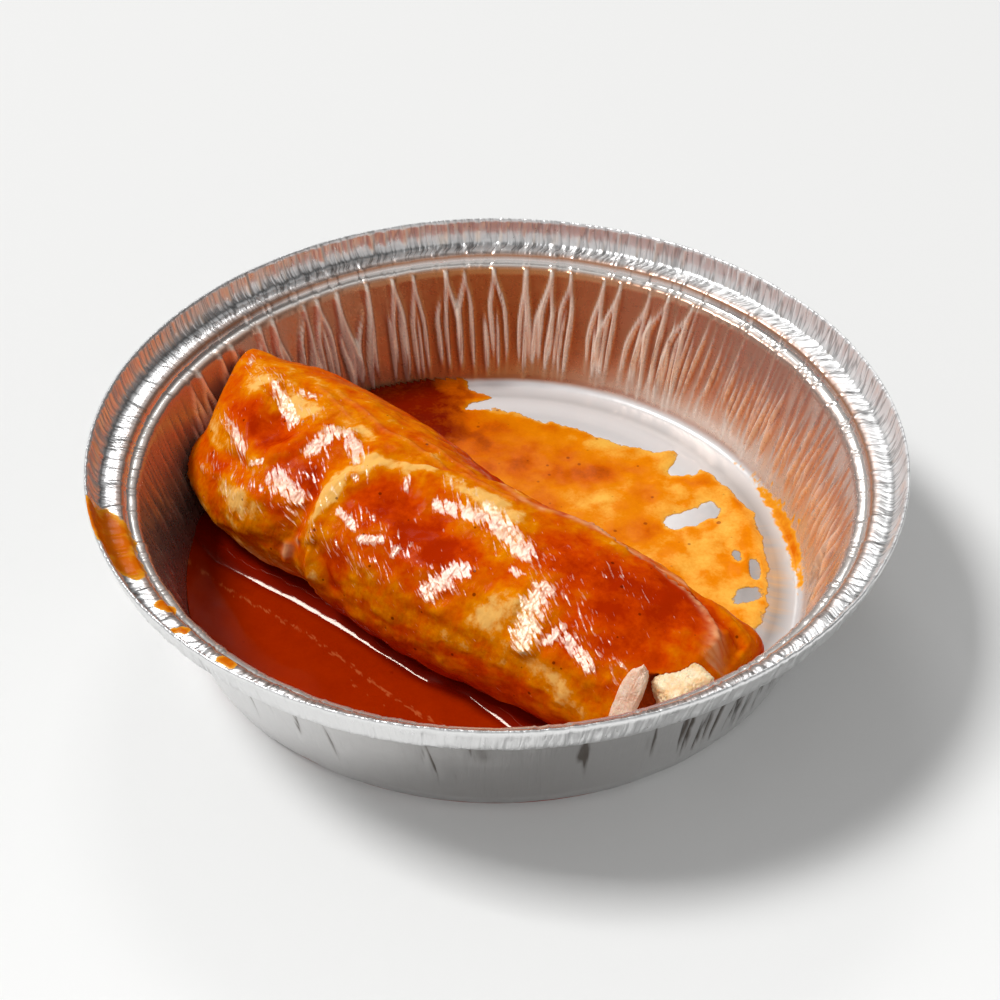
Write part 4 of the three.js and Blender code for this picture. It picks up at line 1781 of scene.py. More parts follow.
    sauce_lines: tuple = (
        Ridge((-16, 101), (-19, 124), 2.8, -0.45),
        Ridge((-19, 124), (-18, 140), 2.8, -0.5),
        Ridge((-18, 140), (-17, 158), 2.2, -0.1),
        Ridge((-17, 158), (-15.5, 176), 2.2, -0.25),
        Ridge((-16, 101), (-5, 86), 2.6, -0.36),
        Ridge((-5, 86), (14, 80), 2.6, -0.3),
        # Painted shade in the crease beside the lip's lower end.
        Ridge((-12, 160), (-8, 176), 2.2, 0.3),
        Ridge((-24, 128), (-21, 166), 1.8, 0.2),
        # Painted shade: deeper sauce along the dark gap of the lapped edge at the back.
        Ridge((-8, 28), (3, 39), 1.7, 0.55),
        Ridge((3, 39), (12, 54), 1.6, 0.6),
        Ridge((12, 54), (25, 58), 1.4, 0.6),
    )

    def sleeve_edge(self, degrees: np.ndarray) -> np.ndarray:
        """X where the outer tortilla ends at the right, over the tucked tongue."""
        angles = [40, 55, 60, 62.5, 65, 68, 72, 79, 90, 103, 110]
        return np.interp(degrees, angles, [30, 33, 39, 47, 55, 60.7, 64.7, 69, 71.3, 73.3, 84])

    def flap_back(self, x: np.ndarray) -> np.ndarray:
        """Angle of the flap's lapped back edge along the roll."""
        wave = 10 * np.cos(FULL_TURN * (x - 20) / 46)
        left = 34 * (1 - ease(x, self.flap_left, self.flap_left + 26))
        right = 14 * ease(x, 50, self.flap_right)
        return 48 + wave + left + right

    def flap(self, x: np.ndarray, degrees: np.ndarray, ragged: np.ndarray) -> np.ndarray:
        """Thickness of the outer flap over the skin.

        Args:
            x: places along the roll.
            degrees: angles round it.
            ragged: unevenness of its edges, in millimetres.

        Returns:
            Height at each place.
        """
        behind = (degrees - self.flap_back(x)) * self.form.degree + ragged
        in_back = ease(behind, -0.5, 0.9)
        edge = np.interp(degrees, *np.transpose(self.lip))
        in_left = ease(x + ragged - edge, -0.9, 2.2)
        in_right = 1 - ease(x, self.flap_right - 1.4, self.flap_right + 1.4)
        under = 1 - ease(degrees, 235, 262)
        return self.flap_thick * in_back * in_left * in_right * under

    def skin_noise(
        self, seed: int, x: np.ndarray, degrees: np.ndarray, size: float, layers: int
    ) -> np.ndarray:
        """Unevenness over the skin, without a seam round the roll.

        Args:
            seed: picks the pattern.
            x: places along the roll.
            degrees: angles round it.
            size: width of its features in millimetres.
            layers: how many finer layers it has.

        Returns:
            One value a place.
        """
        angle = np.radians(degrees)
        places = np.stack([x, 24 * np.cos(angle), 20 * np.sin(angle)], -1).reshape(-1, 3)
        return Unevenness(seed).layered(places / size, layers).reshape(x.shape)

    def relief(self, x: np.ndarray, degrees: np.ndarray, sauce: np.ndarray) -> np.ndarray:
        """Height of every fold, dent and crease.

        Args:
            x: places along the roll.
            degrees: angles round it.
            sauce: thickness of the sauce, 0 to 1, which fills the finest creases.

        Returns:
            Millimetres at each place.
        """
        broad = self.skin_noise(5, x, degrees, 11.0, 2)
        middle = self.skin_noise(8, x, degrees, 6.0, 2)
        small = self.skin_noise(6, x, degrees, 2.4, 3)
        ragged = self.skin_noise(7, x, degrees, 3.0, 2)
        height = self.flap(x, degrees, 0.8 * ragged)
        height += sum(self.form.ridge(fold, x, degrees) for fold in self.form.folds)
        height += sum(self.form.patch(dent, x, degrees) for dent in self.form.dents)
        height += sum(self.form.ridge(line, x, degrees) for line in self.lap_lines)
        height += sum(self.form.ridge(line, x, degrees) for line in self.shoulder_lines)
        beyond = x - self.sleeve_edge(degrees) + 0.7 * ragged
        height -= 1.1 * ease(beyond, -0.3, 0.5) - 0.35 * bell((beyond + 0.8) / 0.9)
        dry = 1 - ease(sauce, 0.45, 0.8)
        return height + 0.4 * broad + (0.3 + 0.12 * dry) * middle + (0.02 + 0.1 * dry) * small

    def sauce(self, x: np.ndarray, degrees: np.ndarray) -> np.ndarray:
        """Thickness of sauce over the skin, 0 bare to 1 deep, deepened in places as painted shade and thinned
        under the left end as painted light.

        Args:
            x: places along the roll.
            degrees: angles round it.

        Returns:
            Thickness at each place.
        """
        shifted = x + 1.6 * self.skin_noise(14, x, degrees, 6.0, 3)
        turned = degrees + 4.5 * self.skin_noise(15, x, degrees, 6.0, 3)
        # Underside: sauce made deeper on the right as painted shade, and thinner at the left end as painted
        # light from the pool.
        low = ease(degrees, 174, 198) * (0.65 * ease(x, -25, -5) - 0.3)
        hidden = 0.25 * ease(-degrees, -50, -30)
        level = 0.42 + low + hidden - 0.16 * self.skin_noise(8, x, degrees, 6.0, 2)
        for spot in self.sauce_patches:
            along = (shifted - spot.at[0]) / spot.size[0]
            around = (turned - spot.at[1]) * self.form.degree / spot.size[1]
            level = level + spot.height * np.exp(-((along**2 + around**2) ** 1.6))
        return level + sum(self.form.ridge(line, shifted, turned) for line in self.sauce_lines)

    def edge_strength(self, x: np.ndarray, degrees: np.ndarray) -> np.ndarray:
        """Where the torn edge of the tortilla shows pale and fibrous.

        Args:
            x: places along the roll.
            degrees: angles round it.

        Returns:
            Strength at each place.
        """
        lines = sum(self.form.ridge(line, x, degrees) / line.height for line in self.lap_lines)
        beyond = x - self.sleeve_edge(degrees)
        fibres = 0.6 + 0.5 * self.skin_noise(19, x, degrees, 1.4, 2)
        sleeve = bell((beyond + 0.9) / 1.7) * (degrees > 42) * (degrees < 112) * 1.4 * fibres
        scraps = sum(self.form.ridge(line, x, degrees) for line in self.scraps)
        torn = sum(self.form.ridge(line, x, degrees) for line in self.torn_edges) * fibres
        return np.clip(0.08 * lines + 0.8 * sleeve + scraps + torn, 0, 0.9)

    def facing(self, x: np.ndarray) -> np.ndarray:
        """Direction that the facets face.

        Args:
            x: places along the roll.

        Returns:
            Unit directions in the pan's frame.
        """
        sideways = np.radians(self.facet_turn * x)
        up = math.radians(self.facet_lean)
        way = np.stack([np.sin(sideways), x * 0 + math.cos(up), x * 0 + math.sin(up)], -1)
        return self.form.into_pan(way / np.linalg.norm(way, axis=-1, keepdims=True))

    def flatten(self, points: np.ndarray, x: np.ndarray, degrees: np.ndarray) -> np.ndarray:
        """Presses flat facets into the skin where the folds catch the light.

        Args:
            points: placed points of the skin.
            x: places along the roll.
            degrees: angles round it.

        Returns:
            The points, with the facets.
        """
        shifted = x + 0.7 * self.skin_noise(16, x, degrees, 2.6, 3)
        turned = degrees + 2.6 * self.skin_noise(17, x, degrees, 2.6, 3)
        rough = self.skin_noise(18, x, degrees, 2.2, 2)
        for facet in self.facets:
            away = self.form.away(facet, shifted, turned)
            share = self.facet_press * facet.height * (1 - ease(away / facet.width, 0.6, 1.5))
            middle = (points * share[..., None]).sum((0, 1)) / share.sum()
            facing = self.facing(np.array((facet.start[0] + facet.end[0]) / 2))
            lift = (middle - points) @ facing + 0.1 * rough
            points = points + (lift * share)[..., None] * facing
        return points

    def rows(self) -> tuple[np.ndarray, np.ndarray]:
        """Closing and X of each ring of points, from the left end to the right.

        Returns:
            Closing and X.
        """
        cap = np.concatenate([[0.02, 0.08, 0.16, 0.25, 0.34, 0.43, 0.52, 0.6], np.linspace(0.66, 0.93, 8)])
        left = self.form.left_squareness
        right = self.form.right_squareness
        end_left = -((1 - cap**left) ** (1 / left))
        end_right = (1 - cap[::-1] ** right) ** (1 / right)
        body = np.linspace(end_left[-1], end_right[0], self.lengthwise)[1:-1]
        power = np.where(body < 0, left, right)
        body_closing = (1 - np.abs(body) ** power) ** (1 / power)
        ends = np.concatenate([end_left, body, end_right])
        closing = np.concatenate([cap, body_closing, cap[::-1]])
        middle = (self.form.left_end + self.form.right_end) / 2
        half = (self.form.right_end - self.form.left_end) / 2
        return closing, middle + half * ends

    def degrees(self) -> np.ndarray:
        """Angles of the points round each ring, closer together where the roll is seen."""
        front = np.linspace(30, 215, self.front_steps, endpoint=False)
        back = np.linspace(215, 390, self.back_steps, endpoint=False)
        return np.concatenate([front, back])

    def build(self, pieces: "Sequence[PalePiece]") -> bpy.types.Object:
        """Makes the wrap's mesh, cuts its mouth and hollow, and dresses it.

        Args:
            pieces: pale pieces that lie in the mouth.

        Returns:
            The wrap.
        """
        closing, places = self.rows()
        turns = self.degrees()
        x, raw = np.meshgrid(places, turns, indexing="ij")
        degrees = np.where(raw > 270, raw - 360, raw)
        close = np.repeat(closing[:, None], len(turns), axis=1)
        sauce = self.sauce(x, degrees)
        rise = self.relief(x, degrees, sauce)
        rings = self.flatten(self.form.lay(close, x, degrees, rise, self.pan), x, degrees)
        points, faces = closed_rings(rings)
        made = make_object("sauced_wrap", points, faces)
        cut(made, core_tool(self.form, self.pan, 4.2, 0.3))
        cut(made, mouth_tool(self.form, 0.0))
        cut(made, end_gap_tool(self.form))
        for piece in pieces:
            cut(made, piece.tool(self.form, self.pan))
        self.paint_layers(made, points, sauce, x, degrees)
        made.data.materials.append(TortillaFinish().build())
        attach(made, "root")
        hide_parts("tortilla")
        return made

    def paint_layers(
        self,
        made: bpy.types.Object,
        points: np.ndarray,
        sauce: np.ndarray,
        x: np.ndarray,
        degrees: np.ndarray,
    ) -> None:
        """Writes the numbers that the tortilla's material reads.

        Args:
            made: the cut wrap.
            points: the points of the uncut wrap, with its two end points last.
            sauce: thickness of sauce at the uncut points.
            x: places along the roll.
            degrees: angles round it.
        """
        tree = kdtree.KDTree(len(points))
        for i, point in enumerate(points * MM):
            tree.insert(point, i)
        tree.balance()
        found = [tree.find(vertex.co) for vertex in made.data.vertices]
        nearest = np.array([item[1] for item in found])
        away = np.array([item[2] for item in found]) / MM
        lit = np.zeros(x.shape)
        for facet in self.facets:
            beyond = self.form.away(facet, x, degrees) / facet.width
            lit = np.maximum(lit, facet.height * (1 - ease(beyond, 0.2, 1.9)))
        for facet in self.sprinkles:
            beyond = self.form.away(facet, x, degrees) / facet.width
            lit = np.maximum(lit, facet.height * (1 - ease(beyond, 0.4, 1.6)))
        ripple = np.clip(0.2 + 0.5 * ease(-sauce, -0.75, -0.4) + 0.7 * lit, 0, 1)
        edge = self.edge_strength(x, degrees)
        ends = [0.5, 0.5]
        paint(made, "sauce", np.concatenate([sauce.ravel(), ends])[nearest])
        paint(made, "ripple", np.concatenate([ripple.ravel(), ends])[nearest])
        paint(made, "edge", np.concatenate([edge.ravel(), [0, 0]])[nearest])
        paint(made, "inside", ease(away, 0.7, 2.2))
        flat = np.stack([x, degrees * self.form.degree, x * 0], -1).reshape(-1, 3) * MM
        paint(made, "skin", np.concatenate([flat, np.zeros((2, 3))])[nearest])
        paint(made, "glint", np.concatenate([lit.ravel(), [0, 0]])[nearest])
        brush = np.stack([x - 1.2 * degrees * self.form.degree, degrees * self.form.degree, x * 0], -1)
        paint(made, "brush", np.concatenate([brush.reshape(-1, 3) * MM, np.zeros((2, 3))])[nearest])
        paint(made, "facing", np.concatenate([self.facing(x.ravel()), np.eye(3)[:2]])[nearest])


def lumpy_ball(
    at: Sequence[float],
    size: Sequence[float],
    turn: Sequence[float],
    lumps: Callable[[np.ndarray], np.ndarray],
    detail: int,
    square: float = 2.0,
) -> tuple[np.ndarray, list[list[int]]]:
    """Uneven ball in the roll's frame.

    Args:
        at: middle.
        size: half sizes.
        turn: turns about X, Y and Z in radians.
        lumps: change of size at unit directions.
        detail: how often the faces are divided.
        square: 2 for a ball, more for a block with soft corners.

    Returns:
        Points and faces.
    """
    work = bmesh.new()
    bmesh.ops.create_icosphere(work, subdivisions=detail, radius=1.0)
    unit = np.array([vertex.co[:] for vertex in work.verts])
    faces = [[vertex.index for vertex in face.verts] for face in work.faces]
    work.free()
    blocky = unit / (np.abs(unit) ** square).sum(1)[:, None] ** (1 / square)
    points = blocky * (1 + lumps(unit))[:, None] * np.array(size)
    spin = Matrix.Rotation(turn[2], 3, "Z") @ Matrix.Rotation(turn[1], 3, "Y")
    spin = spin @ Matrix.Rotation(turn[0], 3, "X")
    return points @ np.array(spin).T + np.array(at), faces


def waves(unit: np.ndarray) -> np.ndarray:
    """Slow swell over a unit ball."""
    first = np.sin(4.1 * unit[:, 0] + 1.3) * np.sin(3.3 * unit[:, 1] + 0.4)
    return (first + np.sin(5.2 * unit[:, 2])) / 2


def mouth_tool(form: RollForm, shrink: float) -> bpy.types.Object:
    """Shape of the torn mouth at the right end.

    Args:
        form: form of the roll.
        shrink: how much smaller it is made.

    Returns:
        The closed shape.
    """
    tear = Unevenness(21)
    size = [4.6 - shrink, 5.0 - shrink, 5.4 - shrink]
    middle = [67.2, -31.6, 25.4]
    points, faces = lumpy_ball(middle, size, [0, 0, 0.3], lambda u: 0.05 * tear.layered(u * 4, 3), 5)
    return make_object("mouth_tool", form.into_pan(points), faces)


def end_gap_tool(form: RollForm) -> bpy.types.Object:
    """Shape of the gap beside the tucked tongue."""
    points, faces = lumpy_ball([76, -8, 13], [7, 2.6, 8.5], [0, 0, 0.2], lambda u: 0.06 * waves(u * 2), 4)
    return make_object("end_gap_tool", form.into_pan(points), faces)


def core_tool(form: RollForm, pan: FoilPan, inset: float, longer: float) -> bpy.types.Object:
    """Plain core of the roll."""
    points, faces = core_points(form, pan, inset, longer, 40, 48)
    return make_object("core_tool", points, faces)


def core_points(
    form: RollForm, pan: FoilPan, inset: float, longer: float, rows: int, around: int
) -> tuple[np.ndarray, list[list[int]]]:
    """Points of the roll's core.

    Args:
        form: form of the roll.
        pan: the pan that it lies in.
        inset: depth under the roll's skin.
        longer: how much longer it is at each end.
        rows: rings along it.
        around: points in a ring.

    Returns:
        Points and faces.
    """
    polar = np.linspace(math.pi, 0, rows)[1:-1]
    ends = np.cos(polar)
    power = np.where(ends < 0, form.left_squareness, form.right_squareness)
    closing = (1 - np.abs(ends) ** power) ** (1 / power)
    low, high = -66 - longer, 64 + longer
    places = (low + high) / 2 + (high - low) / 2 * ends
    turns = np.linspace(-90, 270, around, endpoint=False)
    x, degrees = np.meshgrid(places, turns, indexing="ij")
    close = np.repeat(closing[:, None], around, axis=1)
    rise = np.full(x.shape, -inset)
    return closed_rings(form.lay(close, x, degrees, rise, pan))


@dataclass(frozen=True)
class PalePiece:
    """One pale piece of filling in the torn mouth.

    Attributes:
        node: solid that it replaces.
        at: middle in the roll's frame.
        size: half sizes.
        turn: turns in radians.
        lumps: strength of its swell.
        square: 2 for a round piece, more for a block.
        finish: its finish.
        taper: how much it narrows towards its top.
    """

    node: str
    at: tuple
    size: tuple
    turn: tuple
    lumps: float
    square: float
    taper: float
    finish: PaleFinish

    def shape(self, form: RollForm, pan: FoilPan, grow: float) -> tuple[np.ndarray, list[list[int]]]:
        """Torn shape of the piece, kept inside the pan.

        Args:
            form: form of the roll.
            pan: the pan that it lies in.
            grow: how much larger each half size is made.

        Returns:
            Points and faces.
        """
        tear = Unevenness(41)

        def swell(unit: np.ndarray) -> np.ndarray:
            """Swell, fibres and torn edges of the piece."""
            fibres = unit * np.array([7, 7, 2.0])
            fine = 0.05 * tear.layered(unit * 3, 3) + 0.04 * tear.at(fibres * 2)
            narrow = self.taper * np.clip(unit[..., 2], 0, None) * np.abs(unit[..., 0])
            return self.lumps * waves(unit) + fine - narrow

        size = np.array(self.size) + grow
        points, faces = lumpy_ball(self.at, size, self.turn, swell, 6, self.square)
        placed = form.into_pan(points)
        radius = np.hypot(placed[:, 0], placed[:, 1])
        limit = pan.wall_radius(placed[:, 2]) - form.wall_gap
        placed[:, :2] *= np.where(radius > limit, limit / radius, 1)[:, None]
        return placed, faces

    def tool(self, form: RollForm, pan: FoilPan) -> bpy.types.Object:
        """Slightly larger shape that makes room for the piece."""
        return make_object(self.node + "_tool", *self.shape(form, pan, 0.05))

    def build(self, form: RollForm, pan: FoilPan) -> bpy.types.Object:
        """Makes the piece.

        Args:
            form: form of the roll.
            pan: the pan that it lies in.

        Returns:
            The piece.
        """
        made = make_object(self.node + "_fine", *self.shape(form, pan, 0.0))
        made.data.materials.append(self.finish.build())
        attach(made, "root")
        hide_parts(self.node)
        return made


@dataclass
class Filling:
    """Filling of the roll: its core, and the two pale pieces in the torn mouth.

    Attributes:
        form: form of the roll.
        pan: the pan that it lies in.
        pieces: the pale pieces.
    """

    form: RollForm
    pan: FoilPan
    pieces: tuple = (
        PalePiece(
            "pale_strip",
            (63.2, -33.9, 25.6),
            (2.4, 1.9, 6.7),
            (-0.55, 0.16, 0.2),
            0.06,
            4.0,
            0.3,
            PaleFinish("pink_strip", tone(252, 222, 198), tone(228, 160, 116)),
        ),
        PalePiece(
            "pale_chunk",
            (70.6, -25.6, 25.0),
            (4.2, 5.4, 4.2),
            (0.1, -0.1, -0.35),
            0.03,
            6.0,
            0.0,
            PaleFinish("cream_chunk", tone(252, 230, 190), tone(240, 184, 116)),
        ),
    )

    def build_core(self) -> bpy.types.Object:
        """Makes the lumpy core that shows in the mouth.

        Returns:
            The core.
        """
        points, faces = core_points(self.form, self.pan, 4.5, 0.0, 150, 130)
        lumps = Unevenness(31).layered(points / 3.2, 3)
        middle = points.mean(0)
        way = points - middle
        way[:, 2] *= 1.5
        way /= np.linalg.norm(way, axis=1)[:, None]
        points = points - way * (0.5 + 0.5 * np.abs(lumps))[:, None]
        made = make_object("filling_core", points, faces)
        cut(made, mouth_tool(self.form, 1.4))
        for piece in self.pieces:
            cut(made, piece.tool(self.form, self.pan))
        finish = PaleFinish("sauced_filling", tone(176, 74, 16), tone(104, 30, 6))
        made.data.materials.append(finish.build())
        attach(made, "root")
        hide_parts("filling")
        return made

    def build(self) -> list[bpy.types.Object]:
        """Makes the core and the pale pieces."""
        return [self.build_core(), *(piece.build(self.form, self.pan) for piece in self.pieces)]


# Sauce


@dataclass
class SaucePool:
    """Pool of sauce on the near side of the roll, drawn up where it meets the roll.

    Attributes:
        form: form of the roll.
        pan: the pan that it lies in.
        wrap: the roll that it leans on.
        level: height of its flat surface.
        near_side: Y in the roll's frame that it keeps in front of.
        bright_line: X, Y and width of the bright line beside the roll.
        bright_slope: slope of the sauce under that line.
        bank_slope: slope of the bank that climbs the roll.
        bank_run: part of the run that the bank takes.
        along: points along the line.
        across: points across the pool.
    """

    form: RollForm
    pan: FoilPan
    wrap: bpy.types.Object
    level: float = 4.3
    near_side: float = -34.0
    bright_line: tuple = (
        (-66, -42.0, 0.2),
        (-60, -43.7, 0.3),
        (-50, -46.0, 0.5),
        (-35, -45.0, 0.65),
        (-26, -43.9, 0.7),
        (-12, -43.3, 0.55),
        (16, -43.2, 0.35),
        (26, -40.6, 0.25),
        (34, -41.2, 0.45),
        (44, -42.0, 0.5),
    )
    bright_slope: float = 0.545
    bank_slope: float = 0.85
    bank_run: float = 0.8
    along: int = 300
    across: int = 130

    def waterline(self, x: np.ndarray) -> np.ndarray:
        """Y of the roll's skin at the pool's level, in the roll's frame.

        Args:
            x: places along the roll.

        Returns:
            Y at each place.
        """
        found = np.full(len(x), np.nan)
        way = Vector(self.form.into_pan(np.array([0.0, 1.0, 0.0])))
        for i, place in enumerate(x):
            start = self.form.into_pan(np.array([place, -74.0, self.level + 0.9])) * MM
            hit, point, _, _ = self.wrap.ray_cast(Vector(start), way)
            if hit:
                found[i] = np.dot(np.array(point) / MM, np.array(way))
        known = ~np.isnan(found)
        return np.interp(x, x[known], found[known])

    def bank(self, beyond: np.ndarray) -> np.ndarray:
        """Rise of the sauce where it leans on the roll, steepest just behind its bright line.

        Args:
            beyond: distance beyond the bright line, away from the roll.

        Returns:
            Millimetres over the level.
        """
        steps = np.linspace(-9, 4, 521)
        run = self.bank_run
        places = [-4.5, -3.0, -1.3 * run, -0.7 * run, 0.7 * run, 1.6 * run]
        slopes = [0, self.bank_slope, self.bank_slope, self.bright_slope + 0.04, self.bright_slope - 0.04, 0]
        slope = np.interp(steps, places, slopes)
        falling = np.cumsum(slope[::-1])[::-1] * (steps[1] - steps[0])
        return np.interp(beyond, steps, falling)

    def build(self) -> bpy.types.Object:
        """Makes the pool.

        Returns:
            The pool.
        """
        radius = float(self.pan.wall_radius(np.array(self.level))) - 0.1
        reach = math.sqrt(radius**2 - self.near_side**2)
        x = np.linspace(-reach + 0.05, min(reach, 66.0), self.along)
        shore = np.minimum(self.waterline(x), self.near_side + 6.0)
        wall = -np.sqrt(np.clip(radius**2 - x**2, 0, None))
        keep = shore > wall + 0.3
        x, shore, wall = x[keep], shore[keep], wall[keep]
        share = np.linspace(0, 1, self.across) ** 1.35
        start = shore + 1.6
        gx = np.repeat(x[:, None], self.across, axis=1)
        gy = start[:, None] + (wall - start)[:, None] * share
        rough = Unevenness(51)
        places = np.stack([gx / 9, gy * 0, gy * 0 + 3.7], -1).reshape(-1, 3)
        ripple = rough.layered(places, 3).reshape(gx.shape)
        slow = Unevenness(52).layered(np.stack([gx / 14, gy / 9, gy * 0], -1).reshape(-1, 3), 2)
        marks, middles, widths = np.transpose(self.bright_line)
        line = np.interp(gx, marks, middles) + 0.25 * ripple
        wide = np.interp(gx, marks, widths) * (1 + 0.5 * ripple)
        taper = 1 - 0.5 * bell((gx - 21) / 3.5)
        room = ease(shore - wall, 6, 12)[:, None]
        height = self.level + self.bank((line - gy) / wide) * wide * taper * room
        height = height + 0.05 * slow.reshape(gx.shape)
        top = self.form.into_pan(np.stack([gx, gy, height], -1))
        spread = np.hypot(top[..., 0], top[..., 1])
        floor = self.pan.floor_height(np.minimum(spread, 74.0)) - 0.3
        bottom = np.stack([top[..., 0], top[..., 1], np.minimum(floor, height - 0.2)], -1)
        cells = np.ones((len(x) - 1, self.across - 1), bool)
        made = slab("sauce_pool_fine", top, bottom, cells)
        index = grid_points(made)
        # Painted shade: deeper red toward the roll, for the roll's shade over the bank as well as the thicker
        # sauce there.
        paint(made, "depth", (0.76 + 0.4 * (1 - ease(line - gy, -1.0, 2.5))).ravel()[index])
        paint(made, "cover", np.ones(len(index)))
        paint(made, "cream", self.streaks(gx, gy).ravel()[index])
        paint(made, "glint", bell((line - gy) / (1.6 * wide)).ravel()[index])
        light, full, deep = tone(200, 76, 0), tone(176, 46, 0), tone(136, 22, 0)
        finish = SauceFinish("pool_sauce", still=0.012, light=light, full=full, deep=deep, speck_share=0.06)
        made.data.materials.append(finish.build())
        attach(made, "root")
        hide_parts("sauce_pool")
        return made

    def streaks(self, x: np.ndarray, y: np.ndarray) -> np.ndarray:
        """Broken pale streaks of fat that lie along the pool.

        Args:
            x: places along the roll.
            y: places across it.

        Returns:
            Strength from 0 to 1.
        """
        places = np.stack([x / 2.4, y / 0.9, x * 0], -1).reshape(-1, 3)
        torn = Unevenness(61).layered(places, 4, 0.7).reshape(x.shape)
        swing = y + 50.6 + 0.7 * np.sin(x / 9)
        lines = bell(swing / 0.9) + 0.7 * bell((swing + 3.2) / 0.7) * ease(x, -8, 0)
        return np.clip(ease(torn + 1.5 * lines, 1.35, 1.9), 0, 1) * 0.6


@dataclass
class SauceSmear:
    """Thin smear of sauce on the floor behind the roll, with ragged edges and bare patches.

    Attributes:
        form: form of the roll.
        pan: the pan that it lies on.
        step: size of its grid.
        film: thickness of the film.
        mound: height of the mound at the back left.
        mound_at: middle of the mound.
        mound_reach: reach of the mound.
        outline: X and Y round the sauce.
        bare: bare patches, as X, Y, half length, half width and turn.
        heaps: darker heaps, as X, Y, reach along X and Y, and strength.
    """

    form: RollForm
    pan: FoilPan
    step: float = 0.6
    film: float = 0.75
    mound: float = 2.6
    mound_at: tuple = (-38.0, 58.0)
    mound_reach: float = 26.0
    outline: tuple = (
        (-52, 54), (-36, 74), (-22, 77), (-9, 76), (-7.6, 71), (-2, 66.4), (-9, 60.3),
        (0, 60.2), (13, 55.7), (23, 50.8), (35, 44.6),
        (40.5, 41.2), (46.6, 43.3), (48.5, 41), (46, 36.5), (45.6, 32.4), (50.3, 32), (55, 32.8), (62, 24),
        (66, 11.4), (65.6, -2.5), (62.5, -20), (48, -36), (20, -12), (-20, 18),
    )
    bare: tuple = (
        (49.5, 15.6, 7.0, 3.4, 0.5),
        (58.4, 1.4, 1.3, 2.6, 0.2),
        (62.4, -4.0, 1.2, 3.2, 0.0),
        (59.8, -13.2, 3.4, 2.2, 0.3),
    )
    heaps: tuple = (
        (15, 36, 13, 7, 0.17),
        (29, 33, 7, 4, 0.25),
        (36, 11, 7, 5, 0.35),
        (2, 42, 10, 8, 0.12),
        (40, 24, 6, 2.5, 0.25),
        (54, 28, 7, 1.6, 0.2),
        (62, 12, 1.8, 10, 0.15),
        (27, 46, 8, 3, -0.25),
        (26, 21, 8, 3, -0.22),
        (45, 34, 5, 3, -0.2),
        (53, 7, 7, 6, -0.06),
        (46, 26, 6, 2, -0.1),
    )

    def coverage(self, x: np.ndarray, y: np.ndarray) -> np.ndarray:
        """Distance inside the smear's ragged edge, negative outside.

        Args:
            x: places to the right.
            y: places to the back.

        Returns:
            Millimetres.
        """
        corners = np.array(self.outline, float)
        loop = self.rounded(corners)
        points = np.stack([x.ravel(), y.ravel()], -1)
        inside = np.zeros(len(points), bool)
        nearest = np.full(len(points), 1e9)
        for a, b in zip(loop, np.roll(loop, -1, axis=0)):
            way = b - a
            share = np.clip((points - a) @ way / max(way @ way, 1e-9), 0, 1)
            away = np.linalg.norm(points - a - share[:, None] * way, axis=1)
            nearest = np.minimum(nearest, away)
            crosses = (a[1] > points[:, 1]) != (b[1] > points[:, 1])
            slope = np.where(abs(way[1]) > 1e-9, way[0] / (way[1] if abs(way[1]) > 1e-9 else 1), 0)
            inside ^= crosses & (points[:, 0] < a[0] + (points[:, 1] - a[1]) * slope)
        field_mm = np.where(inside, nearest, -nearest)
        for middle_x, middle_y, wide, high, turn in self.bare:
            dx, dy = points[:, 0] - middle_x, points[:, 1] - middle_y
            u = (dx * math.cos(turn) + dy * math.sin(turn)) / wide
            v = (-dx * math.sin(turn) + dy * math.cos(turn)) / high
            field_mm = np.minimum(field_mm, (np.hypot(u, v) - 1) * high)
        ragged = Unevenness(71).layered(np.concatenate([points / 5, np.zeros((len(points), 1))], 1), 4, 0.6)
        return (field_mm + 1.3 * ragged).reshape(x.shape)

    def strength(self, x: np.ndarray, y: np.ndarray, cover: np.ndarray) -> np.ndarray:
        """Depth of colour of the film, 0 thin and yellow to 1 thick and red.

        Args:
            x: places to the right.
            y: places to the back.
            cover: distance inside the edge.

        Returns:
            Depth at each place.
        """
        flat = np.stack([x, y, x * 0], -1).reshape(-1, 3)
        cloudy = Unevenness(73).layered(flat / 9, 4, 0.5).reshape(x.shape)
        mound = bell(np.hypot(x - self.mound_at[0], y - self.mound_at[1]) / self.mound_reach)
        blots = ease(cloudy, -0.06, 0.34)
        thicker = 0.16 * (1 - ease(x, 15, 50))
        depth = 0.15 + thicker + 1.35 * mound + 0.17 * cloudy + 0.07 * blots
        for middle_x, middle_y, wide, high, amount in self.heaps:
            depth = depth + amount * np.exp(-(((x - middle_x) / wide) ** 2) - ((y - middle_y) / high) ** 2)
        return depth * (0.15 + 0.85 * ease(cover, -0.4, 2.6))

    @staticmethod
    def rounded(corners: np.ndarray) -> np.ndarray:
        """Smooth closed curve through corners.

        Args:
            corners: the corners in order.

        Returns:
            Points of the curve.
        """
        before, after, later = (np.roll(corners, k, axis=0) for k in (1, -1, -2))
        pieces = []
        for t in np.linspace(0, 1, 4, endpoint=False):
            first = 2 * corners + t * (after - before)
            second = t**2 * (2 * before - 5 * corners + 4 * after - later)
            third = t**3 * (3 * corners - 3 * after + later - before)
            pieces.append((first + second + third) / 2)
        return np.stack(pieces, 1).reshape(-1, 2)

